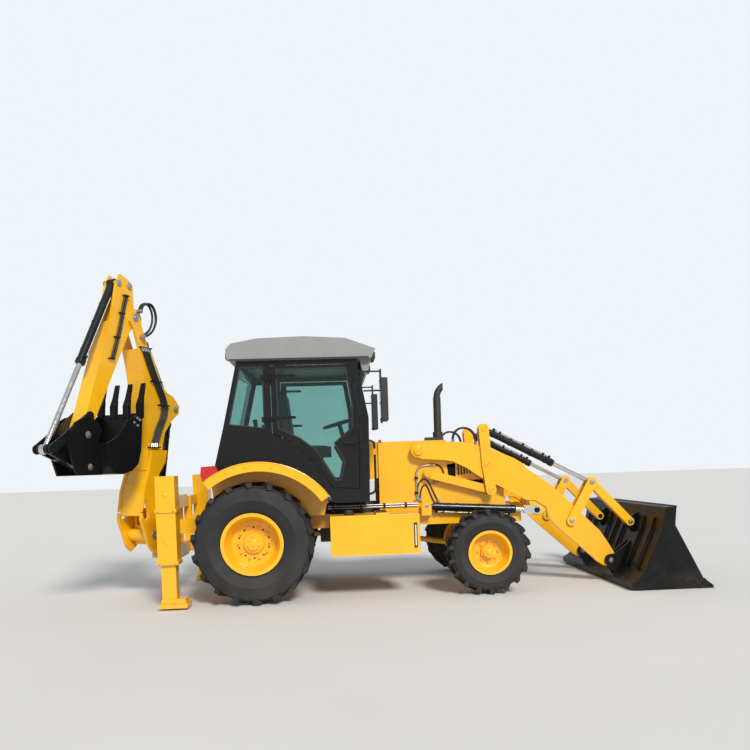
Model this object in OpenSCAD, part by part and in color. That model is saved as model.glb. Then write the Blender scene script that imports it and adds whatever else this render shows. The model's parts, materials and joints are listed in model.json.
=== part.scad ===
// Backhoe loader. X forward, Y to the left, Z up, millimetres.
// The origin is the ground point under the middle of the rear axle.

/* [Wheels] */
// Distance between the rear and front axles
wheelbase = 2540; // [2300:10:2800]
// Outer radius of a rear tyre, lugs included
rear_tyre_r = 655; // [600:5:700]
// Width of a rear tyre
rear_tyre_w = 495; // [380:5:520]
// Distance from the centre plane to the middle of a rear tyre
rear_track_half = 872; // [860:2:960]
// Bead radius of a rear tyre
rear_bead_r = 306; // [280:2:330]
// Outer radius of a front tyre, lugs included
front_tyre_r = 460; // [400:5:480]
// Width of a front tyre
front_tyre_w = 345; // [260:5:360]
// Distance from the centre plane to the middle of a front tyre
front_track_half = 868; // [850:2:960]
// Bead radius of a front tyre
front_bead_r = 222; // [200:2:240]
// Height of a moulded tyre lug
lug_h = 40; // [20:1:45]
// Lugs along each side of a tyre
lug_count = 18; // [14:1:20]
// Radius of the bolt circle of a rear wheel
rear_bolt_circle_r = 167.5; // [150:0.5:190]
// Radius of a rear wheel bolt hole
rear_bolt_hole_r = 11; // [9:0.5:13]

/* [Axles] */
// Radius of the rear axle tubes
rear_axle_tube_r = 80; // [60:1:95]
// Radius of the rear spindles
rear_spindle_r = 60; // [45:1:70]
// Radius of the front spindles
front_spindle_r = 45; // [35:1:50]
// Radius of the front knuckle pins
king_pin_r = 25; // [20:1:32]
// Distance from the centre plane to a knuckle pin
king_pin_y = 620; // [600:2:640]
// Radial clearance of a turning pin in its bore
pin_gap = 0.5; // [0.3:0.1:1]
// Gap between faces that slide past each other
face_gap = 5; // [5:0.5:8]
// Gap at a runner, a hinge eye or a seat
seat_gap = 0.3; // [0.2:0.05:0.5]

/* [Frame] */
// Inner face of a chassis rail from the centre plane
rail_in = 325; // [300:1:330]
// Outer face of a chassis rail from the centre plane
rail_out = 405; // [380:1:408]
// Underside of the chassis rails
rail_z0 = 740; // [735:1:760]
// Top of the chassis rails
rail_z1 = 900; // [860:1:905]
// Radius of the front tow hole
tow_bore_r = 16; // [12:0.5:20]
// Middle plane of a loader arm from the centre plane
arm_y = 470; // [468:1:476]
// Half thickness of a loader arm
arm_half = 35; // [28:1:35]

/* [Loader] */
// Radius of the loader arm pivot pins
arm_pin_r = 40; // [30:1:45]
// Radius of the bucket and rocker pins
loader_pin_r = 28; // [22:1:30]
// Radius of the lift cylinder barrels
lift_barrel_r = 47; // [40:1:50]
// Radius of the lift cylinder rods
lift_rod_r = 27; // [20:1:32]
// Radius of the tilt cylinder barrels
tilt_barrel_r = 38; // [34:1:40]
// Radius of the tilt cylinder rods
tilt_rod_r = 25; // [20:1:30]
// Half width of the loader bucket
bucket_half = 1150; // [1000:10:1250]
// Thickness of the loader bucket walls
bucket_wall = 16; // [10:1:22]

/* [Cab] */
// Outer face of the cab sides from the centre plane
cab_half = 800; // [790:1:805]
// Thickness of the cab side frames and doors
cab_wall = 30; // [24:1:34]
// Thickness of the window glass
glass_t = 6; // [4:0.5:8]
// Radius of the outer skin of a rear fender
fender_r = 915; // [880:5:930]
// Thickness of the fender skin
fender_t = 20; // [12:1:24]
// Half width of the hood
hood_half = 375; // [350:1:375]
// Thickness of the hood sheet
hood_t = 8; // [5:1:12]
// Radius of the exhaust stack
stack_r = 45; // [35:1:50]

/* [Backhoe] */
// Angle of the backhoe from straight back, toward the right side
swing_rest = 65; // [60:1:70]
// Half width of the boom box
boom_half = 120; // [110:1:122]
// Half width of the dipper box
dipper_half = 88; // [80:1:90]
// Radius of the boom foot pin
foot_pin_r = 40; // [30:1:45]
// Radius of the other backhoe pins
hoe_pin_r = 30; // [24:1:32]
// Radius of the boom ram barrel
boom_barrel_r = 58; // [50:1:62]
// Radius of the dipper ram barrel
dipper_barrel_r = 48; // [40:1:50]
// Radius of the bucket ram barrel
hoe_barrel_r = 46; // [40:1:48]
// Radius of the ram rods
ram_rod_r = 28; // [22:1:32]
// Half width of the backhoe bucket
hoe_half = 300; // [230:5:320]

/* [Stabilizers] */
// Outer width of a stabilizer housing
stab_tube = 200; // [180:2:210]
// Wall of a stabilizer housing
stab_wall = 20; // [12:1:22]
// Gap between a stabilizer leg and its housing
stab_gap = 5; // [5:0.5:7]
// Distance from the centre plane to the middle of a stabilizer
stab_y = 1000; // [980:5:1050]

/* [Hidden] */
$fn = 48;

// Loader pivots in side view, x and z
pv_arm = [1853, 1602];
pv_level = [1956, 1326];
pv_plate_low = [2680, 1119];
pv_plate_mid = [2638, 1417];
pv_plate_top = [2611, 1821];
pv_rocker = [3614, 729];
pv_top = [3862, 1168];
pv_bucket = [4064, 254];
pv_upper = pv_bucket + pv_top - pv_rocker;
pv_lift = [1929, 955];
pv_lift_eye = [3211, 869];

// Backhoe pivots in its own plane, rearward distances written negative
swing_x = -1230;
hv_foot = [-290, 731];
hv_elbow = [260, 2200];
hv_ram = [20, 1085];
hv_dipper = [-385, 3190];
hv_tail = [-429, 3534];
hv_ram2 = [-597, 3537];
hv_bucket = [-1200, 1850];
hv_lever = [-1125, 2050];
hv_knee = [-1640, 1703];
hv_ear = [-1190, 1520];

// Plate planes across a loader arm, distances from the middle plane of the arm
eye_half = 20;
link_in = 25;
link_out = 43;
rock_in = 45;
rock_out = 65;
lever_in = 40;
lever_out = 60;

hood_hinge = [2840, 1010];
rear_c = [0, rear_tyre_r];
front_c = [wheelbase, front_tyre_r];
fender_c = [80, 600];
cab_in = cab_half - cab_wall;
cab_top = 2615;
roof_z = cab_top + seat_gap;
side_in = hood_half + face_gap;
side_out = side_in + 22;
stab_x = -880;
leg_half = stab_tube / 2 - stab_wall - stab_gap;

yellow = [0.95, 0.66, 0.05];
black = [0.05, 0.05, 0.055];
dark = [0.12, 0.12, 0.13];
grey = [0.62, 0.61, 0.58];
steel = [0.75, 0.75, 0.77];
glass = [0.45, 0.62, 0.6, 0.5];
red = [0.7, 0.08, 0.06];

// A side view outline, x and z, standing between two y planes
module slab(pts, y0, y1)
  translate([0, y1, 0])
    rotate([90, 0, 0])
      linear_extrude(height = y1 - y0)
        polygon(pts);

module rod_y(p, y0, y1, r)
  translate([p[0], y1, p[1]])
    rotate([90, 0, 0])
      cylinder(h = y1 - y0, r = r);

// A round bar from p toward q, between two distances from p
module along(p, q, y, s0, s1, r)
  translate([p[0], y, p[1]])
    rotate([0, 90 - atan2(q[1] - p[1], q[0] - p[0]), 0])
      translate([0, 0, s0])
        cylinder(h = s1 - s0, r = r);

module block(x0, x1, y0, y1, z0, z1)
  translate([x0, y0, z0])
    cube([x1 - x0, y1 - y0, z1 - z0]);

module both() {
  children();
  mirror([0, 1, 0])
    children();
}

// Copies on both faces of a loader arm, the child drawn outward from its middle plane
module faces(y = arm_y) {
  translate([0, y, 0])
    children();
  translate([0, y, 0])
    mirror([0, 1, 0])
      children();
}

function unit(v) = v / norm(v);
function side(v) = [-v[1], v[0]];
function quad(p, q, a, b) = let (n = side(unit(q - p)))
  [p + n * a, q + n * b, q - n * b, p - n * a];
function spot(p, q, s) = p + unit(q - p) * s;
function arc(c, r, a0, a1, n) = [for (i = [0:n]) c + r * [cos(a0 + (a1 - a0) * i / n), sin(a0 + (a1 - a0) * i / n)]];
function rev(p) = [for (i = [len(p) - 1:-1:0]) p[i]];
function back(pts) = [for (p = pts) [-p[0], p[1]]];
function tangent(p, i) = unit(p[min(i + 1, len(p) - 1)] - p[max(i - 1, 0)]);
function strip(p, t) = concat(p, rev([for (i = [0:len(p) - 1]) p[i] + t * side(tangent(p, i))]));

// A link with round ends
module bar(p, q, r, y0, y1, w = 0) {
  slab(quad(p, q, w > 0 ? w : r * 0.96, w > 0 ? w : r * 0.96), y0, y1);
  rod_y(p, y0, y1, r);
  rod_y(q, y0, y1, r);
}

// Chassis

side_plate = [[1400, 810], [1400, 1700], [2120, 1690], [2175, 1600], [2183, 1478], [2207, 1304],
  [2396, 1240], [2628, 1159], [2800, 1060], [2912, 900], [2912, 810]];

module main_frame()
  color(yellow) {
    difference() {
      union() {
        both() {
          block(-700, 3000, rail_in, rail_out, rail_z0, rail_z1);
          slab(side_plate, side_in, side_out);
          // tower bosses and pins of the loader arm and of the level link
          rod_y(pv_arm, side_in, arm_y - arm_half - face_gap, 75);
          rod_y(pv_arm, side_in, arm_y + arm_half + face_gap, arm_pin_r);
          rod_y(pv_arm, arm_y + arm_half + face_gap, arm_y + arm_half + 17, 60);
          rod_y(pv_level, side_in, arm_y - eye_half - face_gap, 50);
          rod_y(pv_level, side_in, arm_y + eye_half + face_gap, loader_pin_r);
          rod_y(pv_level, arm_y + eye_half + face_gap, arm_y + eye_half + 15, 42);
          lift_mount();
          // pads that carry the cowl, and the eyes of the hood hinge
          block(1450, 1500, hood_half + seat_gap, side_in + 1, 1450, 1550);
          block(2050, 2100, hood_half + seat_gap, side_in + 1, 1450, 1550);
          rod_y(hood_hinge, side_in, side_out, 34);
        }
        block(-700, -620, -rail_in - 5, rail_in + 5, 760, 880);
        block(1280, 1360, -rail_in - 5, rail_in + 5, 760, 880);
        block(2700, 2760, -rail_in - 5, rail_in + 5, 760, 880);
        block(2950, 3050, -rail_out, rail_out, rail_z0, rail_z1);
        block(3040, 3120, -70, 70, 800, 840);
        block(wheelbase - 110, wheelbase + 110, -rail_out, rail_out, 690, rail_z0 + 5);
        block(wheelbase - 110, wheelbase + 110, -160, 160, front_tyre_r + 40, 700);
      }
      translate([3080, 0, 790])
        cylinder(h = 60, r = tow_bore_r);
      both() {
        rod_y(pv_lift, arm_y - eye_half - face_gap, arm_y + eye_half + face_gap, 62);
        rod_y(hood_hinge, side_in - 5, side_out + 5, 14 + seat_gap);
      }
    }
    both()
      rod_y(pv_lift, side_out, arm_y + eye_half + 22, loader_pin_r);
  }

// Clevis that carries the foot of a lift cylinder
module lift_mount() {
  y_in = arm_y - eye_half - face_gap;
  y_out = arm_y + eye_half + face_gap;
  slab([[1860, 850], [1860, 960], [1890, 1012], [1965, 1012], [1990, 960], [1990, 850]], side_in, y_in);
  slab([[1870, 850], [1870, 960], [1895, 1005], [1960, 1005], [1985, 960], [1985, 850]], y_out, y_out + 22);
  block(1865, 1985, y_in - 1, y_out + 1, 850, 888);
}

module engine()
  color(dark) {
    block(1500, 2640, -290, 290, rail_z0 + 10, 1390);
    block(700, 1260, -200, 200, 560, 1000);
    block(1250, 1510, -150, 150, 890, 1000);
  }

module cowl()
  color(yellow) {
    difference() {
      slab([[1300, 1280], [1300, 1712], [2190, 1712], [2195, 1692], [2290, 1686], [2290, 1440]], -hood_half, hood_half);
      slab([[1308, 1270], [1308, 1704], [2184, 1704], [2189, 1684], [2300, 1677], [2300, 1430]],
        -hood_half + hood_t, hood_half - hood_t);
    }
    block(2245, 2290, -hood_half + hood_t - 1, -hood_half + 40, 1440, 1684);
    block(2245, 2290, hood_half - 40, hood_half - hood_t + 1, 1440, 1684);
  }

hood_line = [[2296, 1240], [2296, 1686], [2330, 1680], [2500, 1600], [2820, 1380], [2860, 1330], [2860, 1010],
  [2800, 1010], [2680, 1240]];

module hood()
  color(yellow) {
    difference() {
      slab(hood_line, -hood_half, hood_half);
      slab([[2280, 1200], [2280, 1680], [2327, 1671], [2495, 1592], [2814, 1373], [2852, 1327], [2852, 1000],
        [2780, 990], [2680, 1200]], -hood_half + hood_t, hood_half - hood_t);
      // grille openings in the side panels
      both()
        for (i = [0:6])
          slab([[2320 + 34 * i, 1300 + 4 * i], [2342 + 34 * i, 1300 + 4 * i],
            [2342 + 34 * i, 1560 - 14 * i], [2320 + 34 * i, 1560 - 14 * i]], hood_half - 2 * hood_t, hood_half + 5);
    }
    rod_y(hood_hinge, -side_out, side_out, 14);
  }

module exhaust()
  color(dark) {
    block(1975, 2185, -260, -120, 1712, 1752);
    translate([2130, -190, 1745])
      cylinder(h = 70, r = stack_r + 14);
    translate([2130, -190, 1745])
      cylinder(h = 480, r = stack_r);
    difference() {
      translate([2130, -190, 2225])
        rotate([90, 0, 0])
          translate([150, 0, 0])
            rotate_extrude(angle = 360)
              translate([-150, 0])
                circle(r = stack_r * 0.86);
      block(1900, 2500, -300, 0, 1900, 2225);
      block(2200, 2500, -300, 0, 2225, 2500);
    }
  }

module front_axle()
  color(yellow) {
    block(wheelbase - 90, wheelbase + 90, -130, 130, front_tyre_r - 110, front_tyre_r + 40);
    block(wheelbase - 60, wheelbase + 60, -king_pin_y + 95, king_pin_y - 95, front_tyre_r - 70, front_tyre_r + 20);
    both() {
      difference() {
        union() {
          block(wheelbase - 60, wheelbase + 60, king_pin_y - 100, king_pin_y, front_tyre_r - 85, front_tyre_r + 75);
          translate([wheelbase, king_pin_y, front_tyre_r - 85])
            cylinder(h = 160, r = 50);
        }
        block(wheelbase - 80, wheelbase + 80, king_pin_y - 60, king_pin_y + 80, front_tyre_r - 55, front_tyre_r + 45);
      }
      translate([wheelbase, king_pin_y, front_tyre_r - 84])
        cylinder(h = 158, r = king_pin_r);
    }
    // steering cylinder and the drive shaft from the gearbox
    rod_y([wheelbase - 110, front_tyre_r - 10], -260, 260, 32);
    block(wheelbase - 130, wheelbase - 80, -120, 120, front_tyre_r - 45, front_tyre_r + 10);
    along([1266, 640], [wheelbase - 80, front_tyre_r - 15], 0, 0, norm([wheelbase - 1346, 655 - front_tyre_r]), 32);
  }

// A knuckle with its spindle, drawn for the left side
module knuckle() {
  difference() {
    union() {
      translate([wheelbase, king_pin_y, front_tyre_r - 55 + face_gap])
        cylinder(h = 100 - 2 * face_gap, r = 48);
      block(wheelbase - 45, wheelbase + 45, king_pin_y, king_pin_y + 68, front_tyre_r - 45, front_tyre_r + 35);
      rod_y([wheelbase, front_tyre_r], king_pin_y + 60, front_track_half + 40, front_spindle_r);
      rod_y([wheelbase, front_tyre_r], king_pin_y + 60, king_pin_y + 80, 110);
      // steering arm
      block(wheelbase - 170, wheelbase - 20, king_pin_y + 40, king_pin_y + 68, front_tyre_r - 45, front_tyre_r - 5);
    }
    translate([wheelbase, king_pin_y, front_tyre_r - 100])
      cylinder(h = 200, r = king_pin_r + pin_gap);
  }
}

module knuckle_left()
  color(yellow)
    knuckle();

module knuckle_right()
  color(yellow)
    mirror([0, 1, 0])
      knuckle();

module rear_axle()
  color(yellow) {
    rod_y(rear_c, -560, 560, rear_axle_tube_r);
    translate([0, 0, rear_tyre_r])
      rotate([0, 90, 0])
        cylinder(h = 360, r = 150, center = true);
    both() {
      rod_y(rear_c, 540, 600, 190);
      rod_y(rear_c, 590, rear_track_half + 70, rear_spindle_r);
      block(-80, 80, rail_in, rail_out, rear_tyre_r + 20, rail_z0 - seat_gap);
    }
    along([170, 650], [700, 650], 0, 0, 530, 35);
  }

// Wheels

// Side and share of the pitch for the two rows of lugs
lug_rows = [[1, 0], [-1, 0.5]];

// A tyre with its tread band, flat under each half pitch, and its slanted lugs
module tyre(r, w, bead) {
  h = w / 2;
  base = r - lug_h;
  waist = bead + (r - bead) * 0.45;
  rotate_extrude()
    polygon([[bead, -h * 0.8], [waist, -h], [base - 26, -h * 0.86], [base - 8, -h * 0.7], [base - 8, h * 0.7],
      [base - 26, h * 0.86], [waist, h], [bead, h * 0.8], [bead, h * 0.72], [bead + 30, h * 0.6], [bead + 30, -h * 0.6],
      [bead, -h * 0.72]]);
  difference() {
    translate([0, 0, -h * 0.72])
      linear_extrude(height = h * 1.44)
        polygon(arc([0, 0], base, 0, 360 - 180 / lug_count, 2 * lug_count - 1));
    cylinder(h = w, r = base - 20, center = true);
  }
  for (row = lug_rows)
    for (i = [0:lug_count - 1])
      rotate([0, 0, 360 * (i + row[1]) / lug_count])
        lug(r, h, row[0]);
}

// One lug, slanted from the middle of the tread to its shoulder, its far corner at the full radius
module lug(r, h, hand) {
  base = r - lug_h;
  half = r * 0.046;
  top = sqrt(r * r - pow(h * 0.84 * sin(24) + half * cos(24), 2));
  rotate([hand * 24, 0, 0])
    translate([0, half, 0])
      rotate([90, 0, 0])
        linear_extrude(height = 2 * half)
          scale([1, hand])
            polygon([[base - 14, -h * 0.04], [top, -h * 0.04], [top, h * 0.84], [top - 9, h * 0.94], [base - 24, h],
              [base - 34, h * 0.9]]);
}

// A wheel stood up on its axle, the child drawn with z as the axle pointing outward
module on_axle(c, y, hand)
  translate([c[0], y * hand, c[1]])
    rotate([-90 * hand, 0, 0])
      children();

module rim_rear()
  difference() {
    union() {
      rotate_extrude($fn = 96)
        polygon([[rear_bead_r - 0, rear_tyre_w * 0.40], [rear_bead_r + 24, rear_tyre_w * 0.46],
          [rear_bead_r + 24, rear_tyre_w * 0.475], [rear_bead_r - 14, rear_tyre_w * 0.475],
          [rear_bead_r - 22, rear_tyre_w * 0.36], [rear_bead_r - 50, rear_tyre_w * 0.2],
          [rear_bead_r - 60, 62], [230, 40], [120, 40], [105, 70], [105, 84], [rear_spindle_r + pin_gap, 84],
          [rear_spindle_r + pin_gap, 4], [225, 4], [rear_bead_r - 30, 20], [rear_bead_r - 22, -rear_tyre_w * 0.34],
          [rear_bead_r - 14, -rear_tyre_w * 0.475], [rear_bead_r + 24, -rear_tyre_w * 0.475],
          [rear_bead_r + 24, -rear_tyre_w * 0.46], [rear_bead_r, -rear_tyre_w * 0.40]]);
      translate([0, 0, 80])
        cylinder(h = 26, r = 78);
    }
    for (i = [0:9])
      rotate([0, 0, 36 * i + 18])
        translate([rear_bolt_circle_r, 0, -10])
          cylinder(h = 80, r = rear_bolt_hole_r, $fn = 24);
    translate([0, 0, -20])
      cylinder(h = 96, r = rear_spindle_r + pin_gap);
  }

module rim_front()
  difference() {
    union() {
      rotate_extrude($fn = 96)
        polygon([[front_bead_r, front_tyre_w * 0.40], [front_bead_r + 18, front_tyre_w * 0.46],
          [front_bead_r + 18, front_tyre_w * 0.475], [front_bead_r - 12, front_tyre_w * 0.475],
          [front_bead_r - 18, front_tyre_w * 0.34], [front_bead_r - 40, front_tyre_w * 0.2],
          [front_bead_r - 46, 44], [150, 28], [90, 28], [78, 60], [78, 74], [front_spindle_r + pin_gap, 74],
          [front_spindle_r + pin_gap, 2], [150, 2], [front_bead_r - 24, 12], [front_bead_r - 18, -front_tyre_w * 0.34],
          [front_bead_r - 12, -front_tyre_w * 0.475], [front_bead_r + 18, -front_tyre_w * 0.475],
          [front_bead_r + 18, -front_tyre_w * 0.46], [front_bead_r, -front_tyre_w * 0.40]]);
      translate([0, 0, 46])
        cylinder(h = 50, r = 60);
    }
    for (i = [0:7])
      rotate([0, 0, 45 * i])
        translate([112, 0, -10])
          cylinder(h = 60, r = 9, $fn = 24);
    translate([0, 0, -20])
      cylinder(h = 65, r = front_spindle_r + pin_gap);
  }

module rear_tyre()
  color(dark)
    tyre(rear_tyre_r, rear_tyre_w, rear_bead_r);

module front_tyre()
  color(dark)
    tyre(front_tyre_r, front_tyre_w, front_bead_r);

module tyre_rear_right()
  on_axle(rear_c, rear_track_half, -1)
    rear_tyre();

module tyre_rear_left()
  on_axle(rear_c, rear_track_half, 1)
    rear_tyre();

module tyre_front_right()
  on_axle(front_c, front_track_half, -1)
    front_tyre();

module tyre_front_left()
  on_axle(front_c, front_track_half, 1)
    front_tyre();

module rim_rear_right()
  color(yellow)
    on_axle(rear_c, rear_track_half, -1)
      rim_rear();

module rim_rear_left()
  color(yellow)
    on_axle(rear_c, rear_track_half, 1)
      rim_rear();

module rim_front_right()
  color(yellow)
    on_axle(front_c, front_track_half, -1)
      rim_front();

module rim_front_left()
  color(yellow)
    on_axle(front_c, front_track_half, 1)
      rim_front();

// Boxes beside the frame

module side_boxes()
  color(yellow) {
    // fuel tank on the right, tool box and steps on the left
    slab([[824, 478], [824, 908], [1786, 908], [1786, 478]], -990, -520);
    block(860, 940, -521, -rail_out, 800, 860);
    block(1660, 1740, -521, -rail_out, 800, 860);
    difference() {
      block(824, 1786, 440, 990, 478, 908);
      block(1180, 1480, 760, 1000, 700, 920);
      block(1180, 1480, 860, 1000, 470, 560);
    }
    block(860, 940, rail_out, 441, 800, 860);
    block(1660, 1740, rail_out, 441, 800, 860);
    block(1322, 1450, -960, -560, 908, 932);
  }

// Cab

cab_rear = [[-401, 1504], [-298, 1906], [-145, 2562], [-133, cab_top]];
cab_front = [[1170, cab_top], [1179, 2530], [1283, 1969], [1268, 1092], [1268, 1045]];
door_line = [[230, 2555], [1088, 2555], [1183, 1972], [1155, 1200], [870, 1215], [680, 1496], [417, 1749], [230, 1823]];
door_cut = [[225, 2562], [1094, 2562], [1190, 1972], [1161, 1193], [866, 1209], [675, 1490], [414, 1743], [225, 1816]];
quarter_hole = [[-100, 2545], [150, 2545], [150, 1880], [-240, 1930]];
glass_hole = [[290, 2520], [1050, 2520], [1110, 2110], [1104, 1865], [905, 1700], [1010, 1500], [965, 1290],
  [890, 1290], [736, 1548], [684, 1632], [526, 1759], [290, 1880]];

// The room a fender takes out of the cab, drawn with the same corners as the fender
module fender_space()
  slab(arc(fender_c, fender_r + seat_gap, 20, 164, 36), 600 - seat_gap, 1130);

module cab_side() {
  difference() {
    slab(concat(cab_rear, cab_front, [[700, 1045], [-300, 1200], [-425, 1372]]), cab_in, cab_half);
    fender_space();
    slab(door_cut, cab_in - 5, cab_half + 5);
    slab(quarter_hole, cab_in - 5, cab_half + 5);
  }
}

module cab_frame()
  color(black) {
    both() {
      cab_side();
      mirror_arm();
      // door hinge straps, fixed half, and their pins
      for (z = [1978, 2430]) {
        block(120, 205, cab_half - 1, cab_half + 12, z - 30, z + 30);
        block(204, 224, cab_half - 1, cab_half + 12, z - 30, z - 6);
        translate([225, cab_half + 25, z - 30])
          cylinder(h = 30 - seat_gap, r = 14);
        block(211, 232, cab_half + 5, cab_half + 26, z - 30, z - 6);
      }
    }
    // floor, firewall, rear wall, headers
    difference() {
      block(415, 1268, -cab_in - 1, cab_in + 1, 1045, 1060);
      both()
        fender_space();
    }
    block(1240, 1268, -cab_in - 1, cab_in + 1, 1050, 1290);
    slab([[1240, 1280], [1268, 1280], [1274, 1680], [1246, 1680]], -hood_half, hood_half);
    slab(strip([[-401, 1504], [-304, 1886]], -26), -cab_in - 1, cab_in + 1);
    slab([[-150, 2545], [-133, cab_top], [-80, cab_top], [-110, 2545]], -cab_in - 1, cab_in + 1);
    slab([[1120, cab_top], [1170, cab_top], [1179, 2545], [1150, 2545]], -cab_in - 1, cab_in + 1);
    difference() {
      union() {
        slab([[-401, 1504], [-401, 1378], [-375, 1378], [-375, 1504]], -cab_in - 1, cab_in + 1);
        block(-401, 420, -cab_in - 1, cab_in + 1, 1378, 1400);
        block(400, 420, -cab_in - 1, cab_in + 1, 1050, 1390);
      }
      both()
        fender_space();
    }
  }

// Mirror with its two stays
module mirror_arm() {
  along([1235, 2262], [1440, 2262], cab_half - 12, 0, 190, 9);
  along([1170, 2472], [1440, 2472], cab_half - 12, 0, 255, 9);
  translate([1425, cab_half - 12, 1960])
    cylinder(h = 520, r = 9);
  block(1412, 1438, cab_half - 30, cab_half + 190, 1924, 2376);
}

roof_line = [[-229, roof_z + 22], [-238, 2739], [-180, 2800], [100, 2850], [600, 2862], [1050, 2835], [1376, 2715],
  [1332, roof_z + 2], [1290, roof_z], [-150, roof_z]];

module cab_roof()
  color(grey) {
    slab(roof_line, -cab_half - 40, cab_half + 40);
    slab([[1200, roof_z + 1], [1332, roof_z + 1], [1300, 2500], [1262, 2450], [1230, 2500]], -cab_half + 40, cab_half - 40);
  }

// Window panes of the fixed cab, slanting panes drawn as strips
module cab_glass()
  color(glass) {
    both()
      slab(quarter_hole, cab_half - 18, cab_half - 18 + glass_t);
    slab(strip([[1276, 1680.5], [1281, 1969]], glass_t), -cab_in, cab_in);
    slab(strip([[1281, 1969.5], [1180, 2544.5]], glass_t), -cab_in, cab_in);
    both()
      slab(strip([[1267, 1290.5], [1274, 1679.5]], glass_t), hood_half + 2, cab_in);
    slab(strip([[-303, 1887], [-151, 2544.5]], -glass_t), -cab_in, cab_in);
  }

module cab_interior()
  color(dark) {
    // seat, its base, and the two consoles
    block(380, 760, -230, 230, 1400.5, 1560);
    block(330, 860, -260, 260, 1560, 1680);
    slab([[330, 1670], [430, 1670], [360, 2290], [250, 2290]], -240, 240);
    block(1000, 1150, -260, 260, 1060.5, 1560);
    along([1075, 1540], [965, 1960], 0, 0, 434, 26);
    translate([965, 0, 1960])
      rotate([0, -15, 0])
        rotate_extrude()
          translate([190, 0])
            circle(r = 14, $fn = 20);
    translate([965, 0, 1960])
      rotate([0, -15, 0]) {
        cylinder(h = 20, r = 60, center = true);
        cube([380, 26, 12], center = true);
        cube([26, 380, 12], center = true);
      }
    both()
      block(-60, 300, 420, 590, 1400.5, 1640);
    both()
      along([60, 1600], [20, 1950], 500, 0, 340, 12);
  }

module cab_door() {
  difference() {
    slab(door_line, cab_in, cab_half);
    slab(glass_hole, cab_in - 5, cab_half + 5);
  }
  // hinge straps with their eyes above the fixed ones, and the latch panel
  for (z = [1978, 2430]) {
    difference() {
      union() {
        block(232, 490, cab_half - 1, cab_half + 12, z + 1, z + 30);
        translate([225, cab_half + 25, z])
          cylinder(h = 30, r = 16);
        block(224, 245, cab_half + 5, cab_half + 30, z + 1, z + 30);
      }
      block(200, 231, cab_half - 5, cab_half + 8, z - 5, z + 35);
    }
  }
  block(1000, 1112, cab_half - 1, cab_half + 26, 1680, 1720);
}

module door_left()
  color(black)
    cab_door();

module door_right()
  color(black)
    mirror([0, 1, 0])
      cab_door();

module door_pane()
  slab(glass_hole, cab_half - 18, cab_half - 18 + glass_t);

module door_left_glass()
  color(glass)
    door_pane();

module door_right_glass()
  color(glass)
    mirror([0, 1, 0])
      door_pane();

module fenders()
  color(yellow)
    both() {
      slab(concat(arc(fender_c, fender_r, 36, 128, 23), rev(arc(fender_c, fender_r - fender_t, 36, 128, 23))), 600, 1125);
      slab(concat(arc(fender_c, fender_r, 36, 128, 23), rev(arc(fender_c, fender_r - 95, 36, 128, 23))), 1105, 1125);
      slab(concat(arc(fender_c, fender_r, 36, 128, 23), [[-440, 905], [760, 905]]), 600, 612);
      block(-300, 600, rail_out - 5, 601, 905, 925);
      block(-300, 600, rail_out - 20, rail_out, rail_z1 + seat_gap, 925);
    }

module lamps()
  color(red)
    both() {
      p = fender_c + (fender_r + seat_gap) * [cos(128), sin(128)];
      slab(concat(arc(fender_c, fender_r + seat_gap, 116, 128, 3),
        [p + [-21.5, 78.7], p + [-11.5, 162.7], p + [138.5, 170.7]]), 1010, 1120);
      block(1405, 1440, side_in + 1, side_out - 1, 1700 + seat_gap, 1735);
    }

// Rear frame and stabilizers

module rear_frame()
  color(yellow) {
    block(-985, -925, -stab_y + stab_tube / 2 - 1, stab_y - stab_tube / 2 + 1, 1020, 1140);
    block(-985, -925, -stab_y + stab_tube / 2 - 1, stab_y - stab_tube / 2 + 1, 460, 600);
    both() {
      block(-985, -900, rail_in, rail_out, 460, 1140);
      block(-905, -700.5, rail_in, rail_out, rail_z0, rail_z1);
      difference() {
        union() {
          block(stab_x - stab_tube / 2, stab_x + stab_tube / 2, stab_y - stab_tube / 2, stab_y + stab_tube / 2, 472, 1400);
          block(stab_x - stab_tube / 2 - 12, stab_x + stab_tube / 2 + 12, stab_y - stab_tube / 2 - 0,
            stab_y + stab_tube / 2 + 12, 472, 512);
          block(stab_x - stab_tube / 2 - 12, stab_x + stab_tube / 2 + 12, stab_y - stab_tube / 2 - 0,
            stab_y + stab_tube / 2 + 12, 1020, 1060);
        }
        block(stab_x - leg_half - stab_gap, stab_x + leg_half + stab_gap, stab_y - leg_half - stab_gap,
          stab_y + leg_half + stab_gap, 512, 1385);
        block(stab_x - leg_half - seat_gap, stab_x + leg_half + seat_gap, stab_y - leg_half - seat_gap,
          stab_y + leg_half + seat_gap, 460, 520);
      }
    }
  }

module stab_leg() {
  block(stab_x - leg_half, stab_x + leg_half, stab_y - leg_half, stab_y + leg_half, 100, 1040);
  block(-985, -690, stab_y - 130, stab_y + 130, 20, 60);
  slab([[-970, 55], [-960, 110], [-720, 110], [-700, 55]], stab_y - 90, stab_y + 90);
}

module stab_leg_left()
  color(yellow)
    stab_leg();

module stab_leg_right()
  color(yellow)
    mirror([0, 1, 0])
      stab_leg();

// Loader

arm_line = [[1853, 1687], [1990, 1686], [2365, 1680], [2466, 1655], [2682, 1598], [2960, 1474], [3070, 1402],
  [3092, 1358], [3199, 1285], [3402, 1140], [3485, 1052], [3606, 944], [3722, 824], [3950, 600], [4060, 430],
  [4140, 290], [4064, 174], [3990, 190], [3915, 240], [3880, 275], [3477, 638], [3350, 770], [3320, 900],
  [3190, 985], [3103, 985], [2715, 1194], [2571, 1264], [2400, 1384], [2243, 1461], [2157, 1478], [1898, 1500], [1853, 1517]];
lug_line = [[3100, 1040], [3160, 872], [3190, 812], [3250, 812], [3400, 900], [3300, 1000]];

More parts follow.
